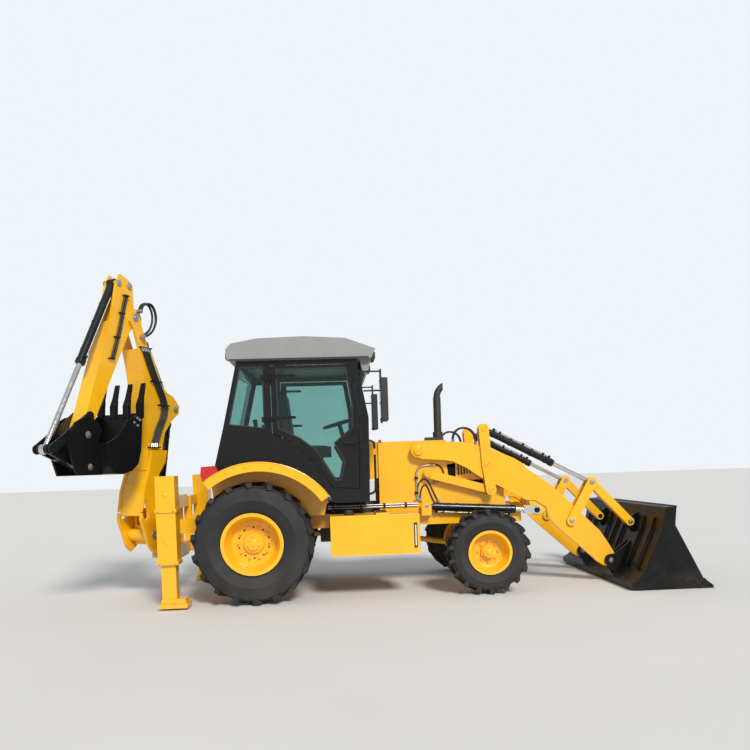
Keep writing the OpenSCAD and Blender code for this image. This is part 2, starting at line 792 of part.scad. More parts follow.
module loader_arms()
  color(yellow) {
    difference() {
      union() {
        both() {
          slab(arm_line, arm_y - arm_half, arm_y + arm_half);
          rod_y(pv_arm, arm_y - arm_half, arm_y + arm_half, 85);
          rod_y(pv_bucket, arm_y - arm_half, arm_y + arm_half, 80);
          slab(lug_line, arm_y - eye_half, arm_y + eye_half);
          rod_y(pv_lift_eye, arm_y - eye_half, arm_y + eye_half, 62);
        }
        rod_y([3350, 960], -arm_y, arm_y, 70);
      }
      both() {
        rod_y(pv_arm, arm_y - 60, arm_y + 60, arm_pin_r + pin_gap);
        rod_y(pv_plate_mid, arm_y - 60, arm_y + 60, loader_pin_r + pin_gap);
        rod_y(pv_rocker, arm_y - 60, arm_y + 60, loader_pin_r + pin_gap);
        rod_y(pv_bucket, arm_y - 60, arm_y + 60, loader_pin_r + pin_gap);
      }
    }
  }

module lift_tubes()
  color(black)
    both()
      difference() {
        union() {
          rod_y(pv_lift, arm_y - eye_half, arm_y + eye_half, 48);
          along(pv_lift, pv_lift_eye, arm_y, 40, 90, eye_half + 4);
          along(pv_lift, pv_lift_eye, arm_y, 80, 1010, lift_barrel_r);
          along(pv_lift, pv_lift_eye, arm_y, 985, 1025, lift_barrel_r + 6);
        }
        rod_y(pv_lift, arm_y - 60, arm_y + 60, loader_pin_r + pin_gap);
        along(pv_lift, pv_lift_eye, arm_y, 110, 1030, lift_rod_r + 1);
      }

module lift_rods()
  color(steel)
    both() {
      l = norm(pv_lift_eye - pv_lift);
      along(pv_lift, pv_lift_eye, arm_y, 200, l - 110, lift_rod_r);
      along(pv_lift, pv_lift_eye, arm_y, l - 145, l - 110, lift_barrel_r - 3);
      for (s = [-1, 1]) {
        y0 = arm_y + s * (eye_half + 15) - 10;
        bar(pv_lift_eye, spot(pv_lift, pv_lift_eye, l - 105), 52, y0, y0 + 20, 40);
      }
    }

module level_links()
  color(yellow)
    both()
      difference() {
        bar(pv_level, pv_plate_low, 48, arm_y - eye_half, arm_y + eye_half);
        rod_y(pv_level, arm_y - 60, arm_y + 60, loader_pin_r + pin_gap);
        rod_y(pv_plate_low, arm_y - 60, arm_y + 60, loader_pin_r + pin_gap);
      }

module lever_plates()
  color(yellow)
    both() {
      faces() {
        bar(pv_plate_top, pv_plate_mid, 60, lever_in, lever_out);
        bar(pv_plate_mid, pv_plate_low, 60, lever_in, lever_out);
        rod_y(pv_plate_low, eye_half + 6, lever_in + 1, 34);
      }
      rod_y(pv_plate_top, arm_y - lever_in - 1, arm_y + lever_in + 1, loader_pin_r);
      rod_y(pv_plate_mid, arm_y - lever_in - 1, arm_y + lever_in + 1, loader_pin_r);
    }

module tilt_tubes()
  color(black)
    both()
      difference() {
        union() {
          rod_y(pv_plate_top, arm_y - eye_half, arm_y + eye_half, 50);
          along(pv_plate_top, pv_top, arm_y, 40, 90, 30);
          along(pv_plate_top, pv_top, arm_y, 80, 880, min(tilt_barrel_r, lever_in + 30));
          along(pv_plate_top, pv_top, arm_y, 860, 900, tilt_barrel_r + 6);
        }
        rod_y(pv_plate_top, arm_y - 60, arm_y + 60, loader_pin_r + pin_gap);
        along(pv_plate_top, pv_top, arm_y, 110, 910, tilt_rod_r + 1);
        // the barrel stays narrow between the lever plates
        for (s = [-1, 1])
          translate([0, arm_y + s * (lever_in + 24), 0])
            slab([[2500, 1700], [2500, 1950], [2725, 1950], [2725, 1600]], -25, 25);
      }

module tilt_rods()
  color(steel)
    both() {
      l = norm(pv_top - pv_plate_top);
      along(pv_plate_top, pv_top, arm_y, 460, l - 30, tilt_rod_r);
      rod_y(pv_top, arm_y - eye_half, arm_y + eye_half, 46);
    }

module rocker_pins()
  color(steel)
    both()
      rod_y(pv_rocker, arm_y - rock_out - 6, arm_y + rock_out + 6, loader_pin_r);

module rockers()
  color(yellow)
    both()
      faces()
        difference() {
          bar(pv_rocker, pv_top, 58, rock_in, rock_out);
          rod_y(pv_rocker, rock_in - 10, rock_out + 10, loader_pin_r + pin_gap);
          rod_y(pv_top, rock_in - 10, rock_out + 10, loader_pin_r + pin_gap);
        }

module link_pins()
  color(steel)
    both()
      faces()
        rod_y(pv_top, eye_half + 8, rock_out + 6, loader_pin_r);

module tilt_links()
  color(yellow)
    both()
      faces()
        difference() {
          bar(pv_top, pv_upper, 48, link_in, link_out);
          rod_y(pv_top, link_in - 10, link_out + 10, loader_pin_r + pin_gap);
          rod_y(pv_upper, link_in - 10, link_out + 10, loader_pin_r + pin_gap);
        }

module bucket_pins()
  color(steel)
    both()
      rod_y(pv_bucket, arm_y - lever_out - 6, arm_y + lever_out + 6, loader_pin_r);

// Bucket wall in side view, from the top lip round the heel to the cutting edge
bucket_line = [[4553, 898], [4430, 890], [4378, 640], [4188, 200], [4105, 118], [4042, 80], [4045, 20], [4130, 0],
  [4940, 0]];
bucket_side = concat(bucket_line, [[4953, 26], [4839, 110], [4537, 694]]);

module bucket()
  color(black) {
    slab(strip(bucket_line, bucket_wall), -bucket_half, bucket_half);
    both() {
      slab(bucket_side, bucket_half - 20, bucket_half);
      slab([[4286, 735], [4412, 800], [4386, 650], [4350, 560], [4272, 668]], arm_y - eye_half, arm_y + eye_half);
      rod_y(pv_upper, arm_y - eye_half, arm_y + eye_half, 44);
      rod_y(pv_upper, arm_y - link_out - 4, arm_y + link_out + 4, loader_pin_r);
      faces()
        difference() {
          union() {
            slab([[4018, 310], [4110, 330], [4312, 482], [4200, 218], [4110, 112], [4026, 190]], lever_in, lever_out);
            rod_y(pv_bucket, lever_in, lever_out, 70);
          }
          rod_y(pv_bucket, 0, 100, loader_pin_r + pin_gap);
        }
    }
    // cutting edge
    slab([[4780, 0], [4780, 30], [4900, 30], [4953, 8], [4953, 0]], -bucket_half - 10, bucket_half + 10);
  }

// Backhoe, drawn straight back in its own plane and swung into place

module swung()
  translate([swing_x, 0, 0])
    rotate([0, 0, swing_rest])
      children();

module carriage()
  color(yellow)
    difference() {
      union() {
        block(-1040, -985 - seat_gap, -260, 260, 436, 1166);
        block(-1040, -930, -260, 260, 1140 + seat_gap, 1166);
        block(-1040, -930, -260, 260, 436, 460 - seat_gap);
        for (z = [436, 935]) {
          block(swing_x, -1039, -85, 85, z, z + 40);
          translate([swing_x, 0, z])
            cylinder(h = 40, r = 85);
        }
        translate([swing_x, 0, 440])
          cylinder(h = 530, r = 35);
      }
    }

module swing_post()
  color(yellow)
    swung() {
      difference() {
        union() {
          translate([0, 0, 481])
            cylinder(h = 449, r = 80);
          block(-290, 0, -95, 95, 620, 840);
          // side plates that reach over the upper ring, open between them for the boom ram
          both() {
            block(-290, -105, 70, 95, 620, 1031);
            block(-290, 70, 70, 95, 981, 1031);
          }
          block(-20, 70, -95, 95, 981, 1031);
          rod_y(hv_foot, -boom_half - 15, boom_half + 15, 75);
          for (s = [-1, 1]) {
            y0 = s > 0 ? 38 : -60;
            rod_y(hv_ram, y0, y0 + 22, 54);
            slab([[-20, 1020], [-34, 1085], [74, 1085], [70, 1020]], y0, y0 + 22);
          }
        }
        translate([0, 0, 470])
          cylinder(h = 470, r = 35 + pin_gap);
        rod_y(hv_foot, -200, 200, foot_pin_r + pin_gap);
      }
      rod_y(hv_ram, -58, 58, hoe_pin_r);
    }

boom_rear = [[350, 2850], [293, 2581], [256, 2162], [246, 1739], [324, 1475]];
boom_front = [[167, 1422], [43, 1554], [2, 1765], [-46, 1909], [-176, 2051], [-330, 2155], [-340, 2240], [-230, 2350],
  [-117, 2388], [-18, 2481], [119, 2780], [155, 2850]];
boom_fork = [[330, 2800], [417, 3059], [480, 3140], [460, 3240], [400, 3285], [320, 3270], [285, 3190], [293, 3129],
  [165, 2800]];
boom_cheek = [[2, 1700], [43, 1554], [167, 1422], [205, 1100], [180, 760], [215, 600], [314, 536], [391, 620], [496, 918],
  [428, 1235], [324, 1475], [262, 1700]];
elbow_slot = [[-420, 1950], [-150, 1950], [-120, 2120], [-120, 2280], [-60, 2400], [30, 2500], [-40, 2640], [-420, 2640]];

module boom()
  color(yellow)
    swung() {
      difference() {
        union() {
          slab(back(concat(boom_rear, boom_front)), -boom_half, boom_half);
          slab(back([[80, 1560], [180, 1440], [300, 1320], [385, 1310], [318, 1450], [245, 1660], [40, 1660]]),
            -142, 142);
        }
        slab(back(elbow_slot), -boom_half + 26, boom_half - 26);
      }
      for (s = [-1, 1]) {
        y0 = s > 0 ? boom_half - 28 : -boom_half;
        y1 = s > 0 ? 140 : -178;
        slab(back(boom_fork), y0, y0 + 28);
        difference() {
          slab(back(boom_cheek), y1, y1 + 38);
          slab(back([[360, 940], [440, 900], [480, 1000], [400, 1180]]), y1 - 5, y1 + 43);
        }
        // stub pins at the elbow, open in the middle for the rod eye
        rod_y(hv_elbow, s > 0 ? 42 : -boom_half - 6, s > 0 ? boom_half + 6 : -42, hoe_pin_r);
      }
      slab(back([[385, 1320], [415, 1240], [478, 965], [455, 955], [390, 1225], [365, 1300]]), -142, 142);
      rod_y(hv_foot, -178, 178, foot_pin_r);
      rod_y(hv_dipper, -boom_half + 1, boom_half - 1, hoe_pin_r + 8);
    }

module boom_tube()
  color(black)
    swung()
      difference() {
        union() {
          rod_y(hv_ram, -32, 32, 46);
          along(hv_ram, hv_elbow, 0, 40, 76, 34);
          along(hv_ram, hv_elbow, 0, 72, 960, boom_barrel_r);
          along(hv_ram, hv_elbow, 0, 930, 975, boom_barrel_r + 8);
        }
        rod_y(hv_ram, -80, 80, hoe_pin_r + pin_gap);
        along(hv_ram, hv_elbow, 0, 110, 980, ram_rod_r + 5);
      }

module boom_rod()
  color(steel)
    swung() {
      l = norm(hv_elbow - hv_ram);
      along(hv_ram, hv_elbow, 0, 118, l - 40, ram_rod_r + 4);
      rod_y(hv_elbow, -36, 36, 52);
    }

dipper_line = [[567, 3640], [640, 3500], [745, 3117], [1152, 2098], [1262, 1850], [1200, 1785], [1135, 1850],
  [1037, 2022], [745, 2532], [481, 2981], [330, 3160], [335, 3240], [372, 3290], [372, 3556], [440, 3600]];

module dipper()
  color(yellow)
    swung() {
      difference() {
        union() {
          slab(back(dipper_line), -dipper_half, dipper_half);
          rod_y(hv_bucket, -dipper_half, dipper_half, 65);
          rod_y(hv_dipper, -dipper_half, dipper_half, 75);
        }
        rod_y(hv_dipper, -200, 200, hoe_pin_r + 8 + pin_gap);
        rod_y(hv_bucket, -200, 200, hoe_pin_r + pin_gap);
        rod_y(hv_lever, -200, 200, hoe_pin_r + pin_gap);
        // slot that takes the two ram ends at the tail
        slab(back([[300, 3295], [300, 3700], [760, 3700], [760, 3100], [690, 3100], [620, 3300], [584, 3385], [500, 3385],
          [500, 3295]]), -58, 58);
      }
      // pins at the tail, the one for the dipper rod open in the middle
      for (s = [-1, 1])
        rod_y(hv_tail, s > 0 ? 38 : -dipper_half - 6, s > 0 ? dipper_half + 6 : -38, hoe_pin_r);
      rod_y(hv_ram2, -dipper_half - 6, dipper_half + 6, hoe_pin_r);
    }

module dipper_tube()
  color(black)
    swung()
      difference() {
        union() {
          for (s = [-1, 1])
            rod_y(hv_elbow, s > 0 ? 46 : -68, s > 0 ? 68 : -46, 50);
          for (s = [-1, 1])
            slab(quad(hv_elbow, spot(hv_elbow, hv_tail, 120), 38, 38), s > 0 ? 46 : -68, s > 0 ? 68 : -46);
          difference() {
            along(hv_elbow, hv_tail, 0, 100, 150, 70);
            along(hv_elbow, hv_tail, 0, 60, 105, 80);
          }
          along(hv_elbow, hv_tail, 0, 140, 830, dipper_barrel_r);
          along(hv_elbow, hv_tail, 0, 800, 842, dipper_barrel_r + 6);
        }
        rod_y(hv_elbow, -80, 80, hoe_pin_r + pin_gap);
        along(hv_elbow, hv_tail, 0, 170, 850, ram_rod_r + 1);
      }

module dipper_rod()
  color(steel)
    swung() {
      l = norm(hv_tail - hv_elbow);
      along(hv_elbow, hv_tail, 0, 785, l - 40, ram_rod_r);
      rod_y(hv_tail, -30, 30, 48);
    }

module bucket_tube()
  color(black)
    swung()
      difference() {
        union() {
          rod_y(hv_ram2, -44, 44, 48);
          along(hv_ram2, hv_knee, 0, 40, 1060, hoe_barrel_r);
          along(hv_ram2, hv_knee, 0, 1030, 1072, hoe_barrel_r + 6);
        }
        rod_y(hv_ram2, -80, 80, hoe_pin_r + pin_gap);
        along(hv_ram2, hv_knee, 0, 90, 1080, ram_rod_r + 1);
      }

module bucket_rod()
  color(steel)
    swung() {
      l = norm(hv_knee - hv_ram2);
      along(hv_ram2, hv_knee, 0, 1000, l - 40, ram_rod_r);
      rod_y(hv_knee, -30, 30, 50);
    }

module tip_levers()
  color(yellow)
    swung() {
      for (s = [-1, 1]) {
        y0 = s > 0 ? dipper_half + 4 : -dipper_half - 22;
        bar(hv_lever, hv_knee, 48, y0, y0 + 18);
        rod_y(hv_knee, s > 0 ? 36 : -dipper_half - 22, s > 0 ? dipper_half + 22 : -36, hoe_pin_r);
      }
      rod_y(hv_lever, -dipper_half - 22, dipper_half + 22, hoe_pin_r);
    }

module tip_link()
  color(yellow)
    swung()
      difference() {
        union() {
          for (s = [-1, 1])
            bar(hv_knee, hv_ear, 46, s > 0 ? 40 : -60, s > 0 ? 60 : -40);
          slab(quad(spot(hv_ear, hv_knee, 90), spot(hv_ear, hv_knee, 330), 44, 44), -45, 45);
        }
        rod_y(hv_knee, -100, 100, hoe_pin_r + pin_gap);
        rod_y(hv_ear, -100, 100, hoe_pin_r + pin_gap);
      }

hoe_line = [[556, 2101], [575, 1913], [601, 1683], [656, 1545], [760, 1470], [900, 1436], [1040, 1444], [1085, 1520],
  [1100, 1640], [1110, 1760]];
hoe_side = concat(hoe_line, [[945, 1841], [793, 2013]]);
ear_line = [[1050, 1990], [1130, 2030], [1229, 2038], [1367, 1973], [1429, 1879], [1476, 1714], [1400, 1500],
  [1378, 1436], [1040, 1436], [1000, 1700], [1080, 1760], [1000, 1900]];

module hoe_bucket()
  color(black)
    swung() {
      slab(back(strip(hoe_line, 14)), -hoe_half, hoe_half);
      for (s = [-1, 1]) {
        y0 = s > 0 ? hoe_half - 16 : -hoe_half;
        slab(back(hoe_side), y0, y0 + 16);
        y1 = s > 0 ? dipper_half + 28 : -dipper_half - 50;
        slab(back(ear_line), y1, y1 + 22);
        rod_y(hv_ear, s > 0 ? 66 : -dipper_half - 50, s > 0 ? dipper_half + 50 : -66, hoe_pin_r);
      }
      rod_y(hv_bucket, -dipper_half - 50, dipper_half + 50, hoe_pin_r);
      // four teeth on the lip
      for (i = [0:3]) {
        y = -hoe_half + 30 + i * (2 * hoe_half - 60) / 3;
        slab(back([[545, 2070], [583, 2070], [575, 2200], [490, 2436], [474, 2430], [535, 2180]]), y - 28, y + 28);
      }
    }

main_frame();
cowl();
engine();
exhaust();
front_axle();
rear_axle();
side_boxes();
cab_frame();
cab_roof();
cab_glass();
cab_interior();
fenders();
lamps();
rear_frame();
hood();
door_right();
door_right_glass();
door_left();
door_left_glass();
tyre_rear_right();
rim_rear_right();
tyre_rear_left();
rim_rear_left();
tyre_front_right();
rim_front_right();
tyre_front_left();
rim_front_left();
knuckle_right();
knuckle_left();
loader_arms();
lift_tubes();
lift_rods();
level_links();
lever_plates();
tilt_tubes();
tilt_rods();
rocker_pins();
rockers();
link_pins();
tilt_links();
bucket_pins();
bucket();
carriage();
swing_post();
boom();
boom_tube();
boom_rod();
dipper();
dipper_tube();
dipper_rod();
bucket_tube();
bucket_rod();
tip_levers();
tip_link();
hoe_bucket();
stab_leg_right();
stab_leg_left();
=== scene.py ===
"""Looks of a backhoe loader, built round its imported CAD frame."""

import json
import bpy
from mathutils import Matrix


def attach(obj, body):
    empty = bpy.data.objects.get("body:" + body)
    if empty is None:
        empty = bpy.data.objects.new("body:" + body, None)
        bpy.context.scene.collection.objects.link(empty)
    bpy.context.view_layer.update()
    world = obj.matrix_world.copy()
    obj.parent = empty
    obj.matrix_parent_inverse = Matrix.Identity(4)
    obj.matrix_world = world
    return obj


bl_info = {
    "name": "Backhoe Loader Looks",
    "version": (1, 0, 0),
    "blender": (4, 5, 0),
    "location": "View3D > Sidebar > Loader",
    "description": "Materials, fittings, hoses and stage for a backhoe loader",
    "category": "Object",
}

from math import cos, pi, radians, sin

import bmesh
import bpy
from bpy.props import FloatProperty, FloatVectorProperty, PointerProperty
from mathutils import Matrix, Vector

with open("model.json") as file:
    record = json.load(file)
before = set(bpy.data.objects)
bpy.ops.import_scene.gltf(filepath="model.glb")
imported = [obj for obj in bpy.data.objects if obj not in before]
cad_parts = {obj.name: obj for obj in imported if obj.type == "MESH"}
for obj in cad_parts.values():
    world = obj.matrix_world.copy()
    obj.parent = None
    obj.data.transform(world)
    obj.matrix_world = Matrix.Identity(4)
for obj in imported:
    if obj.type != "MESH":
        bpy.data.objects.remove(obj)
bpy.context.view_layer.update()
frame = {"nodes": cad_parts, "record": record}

# Pivots of the loader in side view, x and z in metres
ARM = (1.853, 1.602)
LEVEL = (1.956, 1.326)
PLATE_LOW = (2.68, 1.119)
PLATE_MID = (2.638, 1.417)
PLATE_TOP = (2.611, 1.821)
ROCKER = (3.614, 0.729)
TOP = (3.862, 1.168)
BUCKET = (4.064, 0.254)
UPPER = (4.312, 0.693)
LIFT = (1.929, 0.955)
LIFT_EYE = (3.211, 0.869)
ARM_Y = 0.47
# The machine's sides, each with the sign of its y
SIDES = (("right", -1), ("left", 1))

# Pivots of the backhoe in its own plane: rearward distance and height
SWING_X = -1.23
SWING = radians(65)  # how far the backhoe is swung to the right at rest
FOOT = (0.29, 0.731)
ELBOW = (-0.26, 2.2)
RAM = (-0.02, 1.085)
KNUCKLE = (0.385, 3.19)
TAIL = (0.429, 3.534)
RAM2 = (0.597, 3.537)
HOE = (1.2, 1.85)
KNEE = (1.64, 1.703)
EAR = (1.19, 1.52)


# Shader groups

class Nodes:
    """Short calls for making and joining nodes in one tree."""

    def __init__(self, tree):
        self.tree = tree

    def add(self, kind, **values):
        node = self.tree.nodes.new(kind)
        for key, value in values.items():
            setattr(node, key, value)
        return node

    def put(self, source, target):
        self.tree.links.new(source, target)

    def feed(self, value, target):
        """Sets an input to a number or colour, or joins an output to it."""
        if isinstance(value, (int, float)):
            target.default_value = value
        elif isinstance(value, (tuple, list)):
            target.default_value = (*value, 1.0)
        else:
            self.put(value, target)

    def math(self, operation, a, b, clamp=False):
        node = self.add("ShaderNodeMath", operation=operation, use_clamp=clamp)
        self.feed(a, node.inputs[0])
        self.feed(b, node.inputs[1])
        return node.outputs[0]

    def times(self, a, b, clamp=False):
        return self.math("MULTIPLY", a, b, clamp)

    def noise(self, vector, scale, detail=4.0, rough=0.55):
        node = self.add("ShaderNodeTexNoise")
        node.inputs["Detail"].default_value = detail
        node.inputs["Roughness"].default_value = rough
        self.feed(scale, node.inputs["Scale"])
        self.put(vector, node.inputs["Vector"])
        return node.outputs["Fac"]

    def span(self, value, low, high, out_low=0.0, out_high=1.0):
        node = self.add("ShaderNodeMapRange")
        for index, end in enumerate((value, low, high, out_low, out_high)):
            self.feed(end, node.inputs[index])
        return node.outputs["Result"]

    def mix(self, factor, a, b):
        node = self.add("ShaderNodeMix", data_type="RGBA")
        for value, key in ((factor, 0), (a, 6), (b, 7)):
            self.feed(value, node.inputs[key])
        return node.outputs[2]


def new_group(name, inputs, outputs):
    """A shader node group with its sockets: a colour where the default is one, and a number elsewhere.

    Returns the short calls for its nodes, the sockets that come in and those that go out.
    """
    group = bpy.data.node_groups.new(name, "ShaderNodeTree")
    for way, sockets in (("INPUT", inputs), ("OUTPUT", outputs)):
        for label, value in sockets.items():
            kind = "NodeSocketColor" if isinstance(value, tuple) else "NodeSocketFloat"
            socket = group.interface.new_socket(name=label, in_out=way, socket_type=kind)
            if way == "INPUT":
                socket.default_value = value
    n = Nodes(group)
    return n, n.add("NodeGroupInput").outputs, n.add("NodeGroupOutput").inputs


def dust_group():
    """Dust that lies on upward faces and near the ground, with a fine mottle of the colour."""
    n, enter, leave = new_group(
        "Dust and mottle",
        {"Color": (0.8, 0.8, 0.8, 1), "Dust Color": (0.35, 0.29, 0.22, 1), "Amount": 0.4, "Low Amount": 0.5,
         "Scale": 6.0, "Roughness": 0.4},
        {"Color": (0, 0, 0, 1), "Roughness": 0, "Mask": 0})
    coords = n.add("ShaderNodeTexCoord").outputs["Object"]
    place, facing = n.add("ShaderNodeSeparateXYZ"), n.add("ShaderNodeSeparateXYZ")
    n.put(coords, place.inputs[0])
    n.put(n.add("ShaderNodeNewGeometry").outputs["Normal"], facing.inputs[0])
    patches = n.span(n.noise(coords, enter["Scale"], 6.0), 0.38, 0.68)
    upward = n.span(facing.outputs[2], 0.35, 0.95)
    low = n.span(place.outputs[2], 0.9, 0.05)
    top_dust = n.times(n.times(upward, enter["Amount"]), n.span(patches, 0, 1, 0.35, 1.0))
    low_dust = n.times(n.times(low, enter["Low Amount"]), patches)
    mask = n.math("MAXIMUM", top_dust, low_dust, clamp=True)
    shade = n.span(n.noise(coords, 2.3, 3.0), 0.3, 0.7, 0.93, 1.05)
    tone = n.add("ShaderNodeVectorMath", operation="SCALE")
    n.put(enter["Color"], tone.inputs[0])
    n.put(shade, tone.inputs["Scale"])
    n.put(n.mix(mask, tone.outputs[0], enter["Dust Color"]), leave["Color"])
    smear = n.span(n.noise(coords, 14.0, 5.0), 0.35, 0.75, -0.05, 0.09)
    rough = n.math("ADD", enter["Roughness"], n.math("ADD", smear, n.times(mask, 0.45)))
    n.put(n.math("MINIMUM", rough, 0.95, clamp=True), leave["Roughness"])
    n.put(mask, leave["Mask"])
    return n.tree


def edge_group():
    """Paint rubbed from edges: a mask from the turn of the surface, broken by grain."""
    n, enter, leave = new_group("Edge wear", {"Width": 0.006, "Amount": 0.5, "Grain": 40.0}, {"Mask": 0})
    coords = n.add("ShaderNodeTexCoord").outputs["Object"]
    bevel = n.add("ShaderNodeBevel", samples=4)
    n.put(enter["Width"], bevel.inputs["Radius"])
    turn = n.add("ShaderNodeVectorMath", operation="DOT_PRODUCT")
    n.put(bevel.outputs[0], turn.inputs[0])
    n.put(n.add("ShaderNodeNewGeometry").outputs["Normal"], turn.inputs[1])
    edge = n.span(turn.outputs["Value"], 0.985, 0.86)
    grain = n.span(n.noise(coords, enter["Grain"], 5.0, 0.65), 0.44, 0.62)
    broad = n.span(n.noise(coords, 3.1, 2.0), 0.42, 0.62)
    mask = n.times(n.times(edge, grain), broad)
    n.put(n.times(mask, enter["Amount"], clamp=True), leave["Mask"])
    return n.tree


def grain_group():
    """A height for fine surface grain over a broader ripple."""
    n, enter, leave = new_group("Surface grain", {"Fine Scale": 300.0, "Ripple Scale": 20.0,
                                                  "Fine Share": 0.5},
                                {"Height": 0})
    coords = n.add("ShaderNodeTexCoord").outputs["Object"]
    fine = n.times(n.noise(coords, enter["Fine Scale"], 2.0), enter["Fine Share"])
    ripple = n.noise(coords, enter["Ripple Scale"], 2.0)
    n.put(n.math("ADD", fine, ripple), leave["Height"])
    return n.tree


# Shared shader groups and finished materials, by name
GROUPS = {}
MATERIALS = {}


def group_node(n, key, **values):
    """Places a shared group in a material, with its own values."""
    node = n.add("ShaderNodeGroup", node_tree=GROUPS[key])
    for label, value in values.items():
        n.feed(value, node.inputs[label.replace("_", " ")])
    return node


def blank_material(name):
    """A new material under its name, with its nodes and its shader."""
    material = bpy.data.materials.new(name)
    material.use_nodes = True
    MATERIALS[name] = material
    return Nodes(material.node_tree), material.node_tree.nodes["Principled BSDF"]


def finish_material(name, color, rough, dust, low, metallic=0.0, coat=0.0, wear=0.0,
                    wear_color=(0.3, 0.29, 0.28), fine=300.0, ripple=20.0, bump=0.0002,
                    dust_color=(0.36, 0.31, 0.25), patch=6.0, shine=0.5):
    """A painted, plastic, rubber or metal finish with dust, worn edges and grain."""
    n, shader = blank_material(name)
    dusty = group_node(n, "dust", Color=color, Dust_Color=dust_color, Amount=dust, Low_Amount=low,
                       Scale=patch, Roughness=rough)
    surface = dusty.outputs["Color"]
    if wear:
        edge = group_node(n, "edge", Amount=wear)
        surface = n.mix(edge.outputs["Mask"], surface, wear_color)
        n.put(n.times(edge.outputs["Mask"], 0.7, clamp=True), shader.inputs["Metallic"])
    else:
        shader.inputs["Metallic"].default_value = metallic
    n.put(surface, shader.inputs["Base Color"])
    n.put(dusty.outputs["Roughness"], shader.inputs["Roughness"])
    shader.inputs["Coat Weight"].default_value = coat
    shader.inputs["Coat Roughness"].default_value = 0.1
    shader.inputs["Specular IOR Level"].default_value = shine
    grain = group_node(n, "grain", Fine_Scale=fine, Ripple_Scale=ripple)
    lift = n.add("ShaderNodeBump")
    lift.inputs["Distance"].default_value = bump
    n.put(grain.outputs["Height"], lift.inputs["Height"])
    n.put(lift.outputs["Normal"], shader.inputs["Normal"])


def glass_material(name, tint):
    """Tinted window glass with a film of dust in its roughness."""
    n, shader = blank_material(name)
    coords = n.add("ShaderNodeTexCoord").outputs["Object"]
    n.put(n.span(n.noise(coords, 5.0, 5.0), 0.4, 0.8, 0.02, 0.08), shader.inputs["Roughness"])
    shade = n.mix(n.span(n.noise(coords, 1.1, 2.0), 0.3, 0.7), tint, tuple(c * 0.93 for c in tint))
    n.put(shade, shader.inputs["Base Color"])
    shader.inputs["Transmission Weight"].default_value = 1.0
    shader.inputs["IOR"].default_value = 1.45


# Modelling helpers

def place_piece(name, data, body, material):
    """Puts new data in the scene as a piece of one material that rides on a body."""
    data.materials.append(MATERIALS[material])
    piece = bpy.data.objects.new(name, data)
    bpy.context.scene.collection.objects.link(piece)
    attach(piece, body)
    return piece


def finish_piece(name, bm, body, material, bevel=0.0, recalc=False):
    """Turns a bmesh into a smooth-shaded piece, with rounded edges where a bevel is given."""
    if recalc:
        bmesh.ops.recalc_face_normals(bm, faces=bm.faces)
    mesh = bpy.data.meshes.new(name)
    bm.to_mesh(mesh)
    bm.free()
    mesh.polygons.foreach_set("use_smooth", [True] * len(mesh.polygons))
    mesh.set_sharp_from_angle(angle=radians(38))
    piece = place_piece(name, mesh, body, material)
    if bevel:
        modifier = piece.modifiers.new("rounded edges", "BEVEL")
        modifier.width = bevel
        modifier.segments = 2
        modifier.limit_method = "ANGLE"
        modifier.angle_limit = radians(40)
    return piece


def turn_to(axis):
    """A rotation that takes Z to the axis."""
    return Vector((0, 0, 1)).rotation_difference(Vector(axis).normalized()).to_matrix().to_4x4()


def rod(bm, start, end, radius, sides=20, radius_end=None):
    """A round bar or cone between two points, closed at both ends."""
    start, end = Vector(start), Vector(end)
    middle = (start + end) / 2
    bmesh.ops.create_cone(bm, cap_ends=True, segments=sides, radius1=radius,
                          radius2=radius if radius_end is None else radius_end, depth=(end - start).length,
                          matrix=Matrix.Translation(middle) @ turn_to(end - start))


def box(bm, low, high):
    """A box between two corners."""
    low, high = Vector(low), Vector(high)
    place = Matrix.Translation((low + high) / 2) @ Matrix.Diagonal((*(high - low), 1.0))
    bmesh.ops.create_cube(bm, size=1.0, matrix=place)


def slab(bm, outline, y0, y1):
    """A plate from a side view outline, x and z, between two y planes."""
    corners = [bm.verts.new((x, y0, z)) for x, z in outline]
    face = bm.faces.new(corners)
    new = bmesh.ops.extrude_face_region(bm, geom=[face])
    moved = [v for v in new["geom"] if isinstance(v, bmesh.types.BMVert)]
    bmesh.ops.translate(bm, verts=moved, vec=(0, y1 - y0, 0))


def plate(bm, x0, z0, x1, z1, y0, y1):
    """A plate with a rectangular side view."""
    slab(bm, [(x0, z0), (x1, z0), (x1, z1), (x0, z1)], y0, y1)


def turned(bm, profile, centre, axis, steps=48):
    """A solid of revolution: profile of (radius, height) along the axis."""
    centre = Vector(centre)
    place = Matrix.Translation(centre) @ turn_to(axis)
    points = [bm.verts.new(place @ Vector((r, 0, h))) for r, h in profile]
    edges = [bm.edges.new((points[i], points[i + 1])) for i in range(len(points) - 1)]
    bmesh.ops.spin(bm, geom=points + edges, cent=centre, axis=place.to_3x3() @ Vector((0, 0, 1)),
                   angle=2 * pi, steps=steps, use_merge=True)


def stacked(bm, at, axis, steps):
    """Bars on one axis, each given by its start, end, radius and number of sides."""
    for start, end, radius, sides in steps:
        rod(bm, at + axis * start, at + axis * end, radius, sides)


def bolt(bm, at, axis, radius=0.011, height=0.009):
    """A hexagon bolt head standing on a face, with its washer."""
    top = 0.003 + height
    stacked(bm, Vector(at), Vector(axis).normalized(),
            [(-0.002, 0.003, radius * 1.45, 16), (-0.002, top, radius, 6),
             (top, top + 0.003, radius * 0.55, 12)])


def band(bm, at, axis, radius, rise, half):
    """A raised ring round a tube."""
    turned(bm, [(radius + 0.0005, -half), (radius + rise, 0.002 - half), (radius + rise, half - 0.002),
                (radius + 0.0005, half)], at, axis, 40)


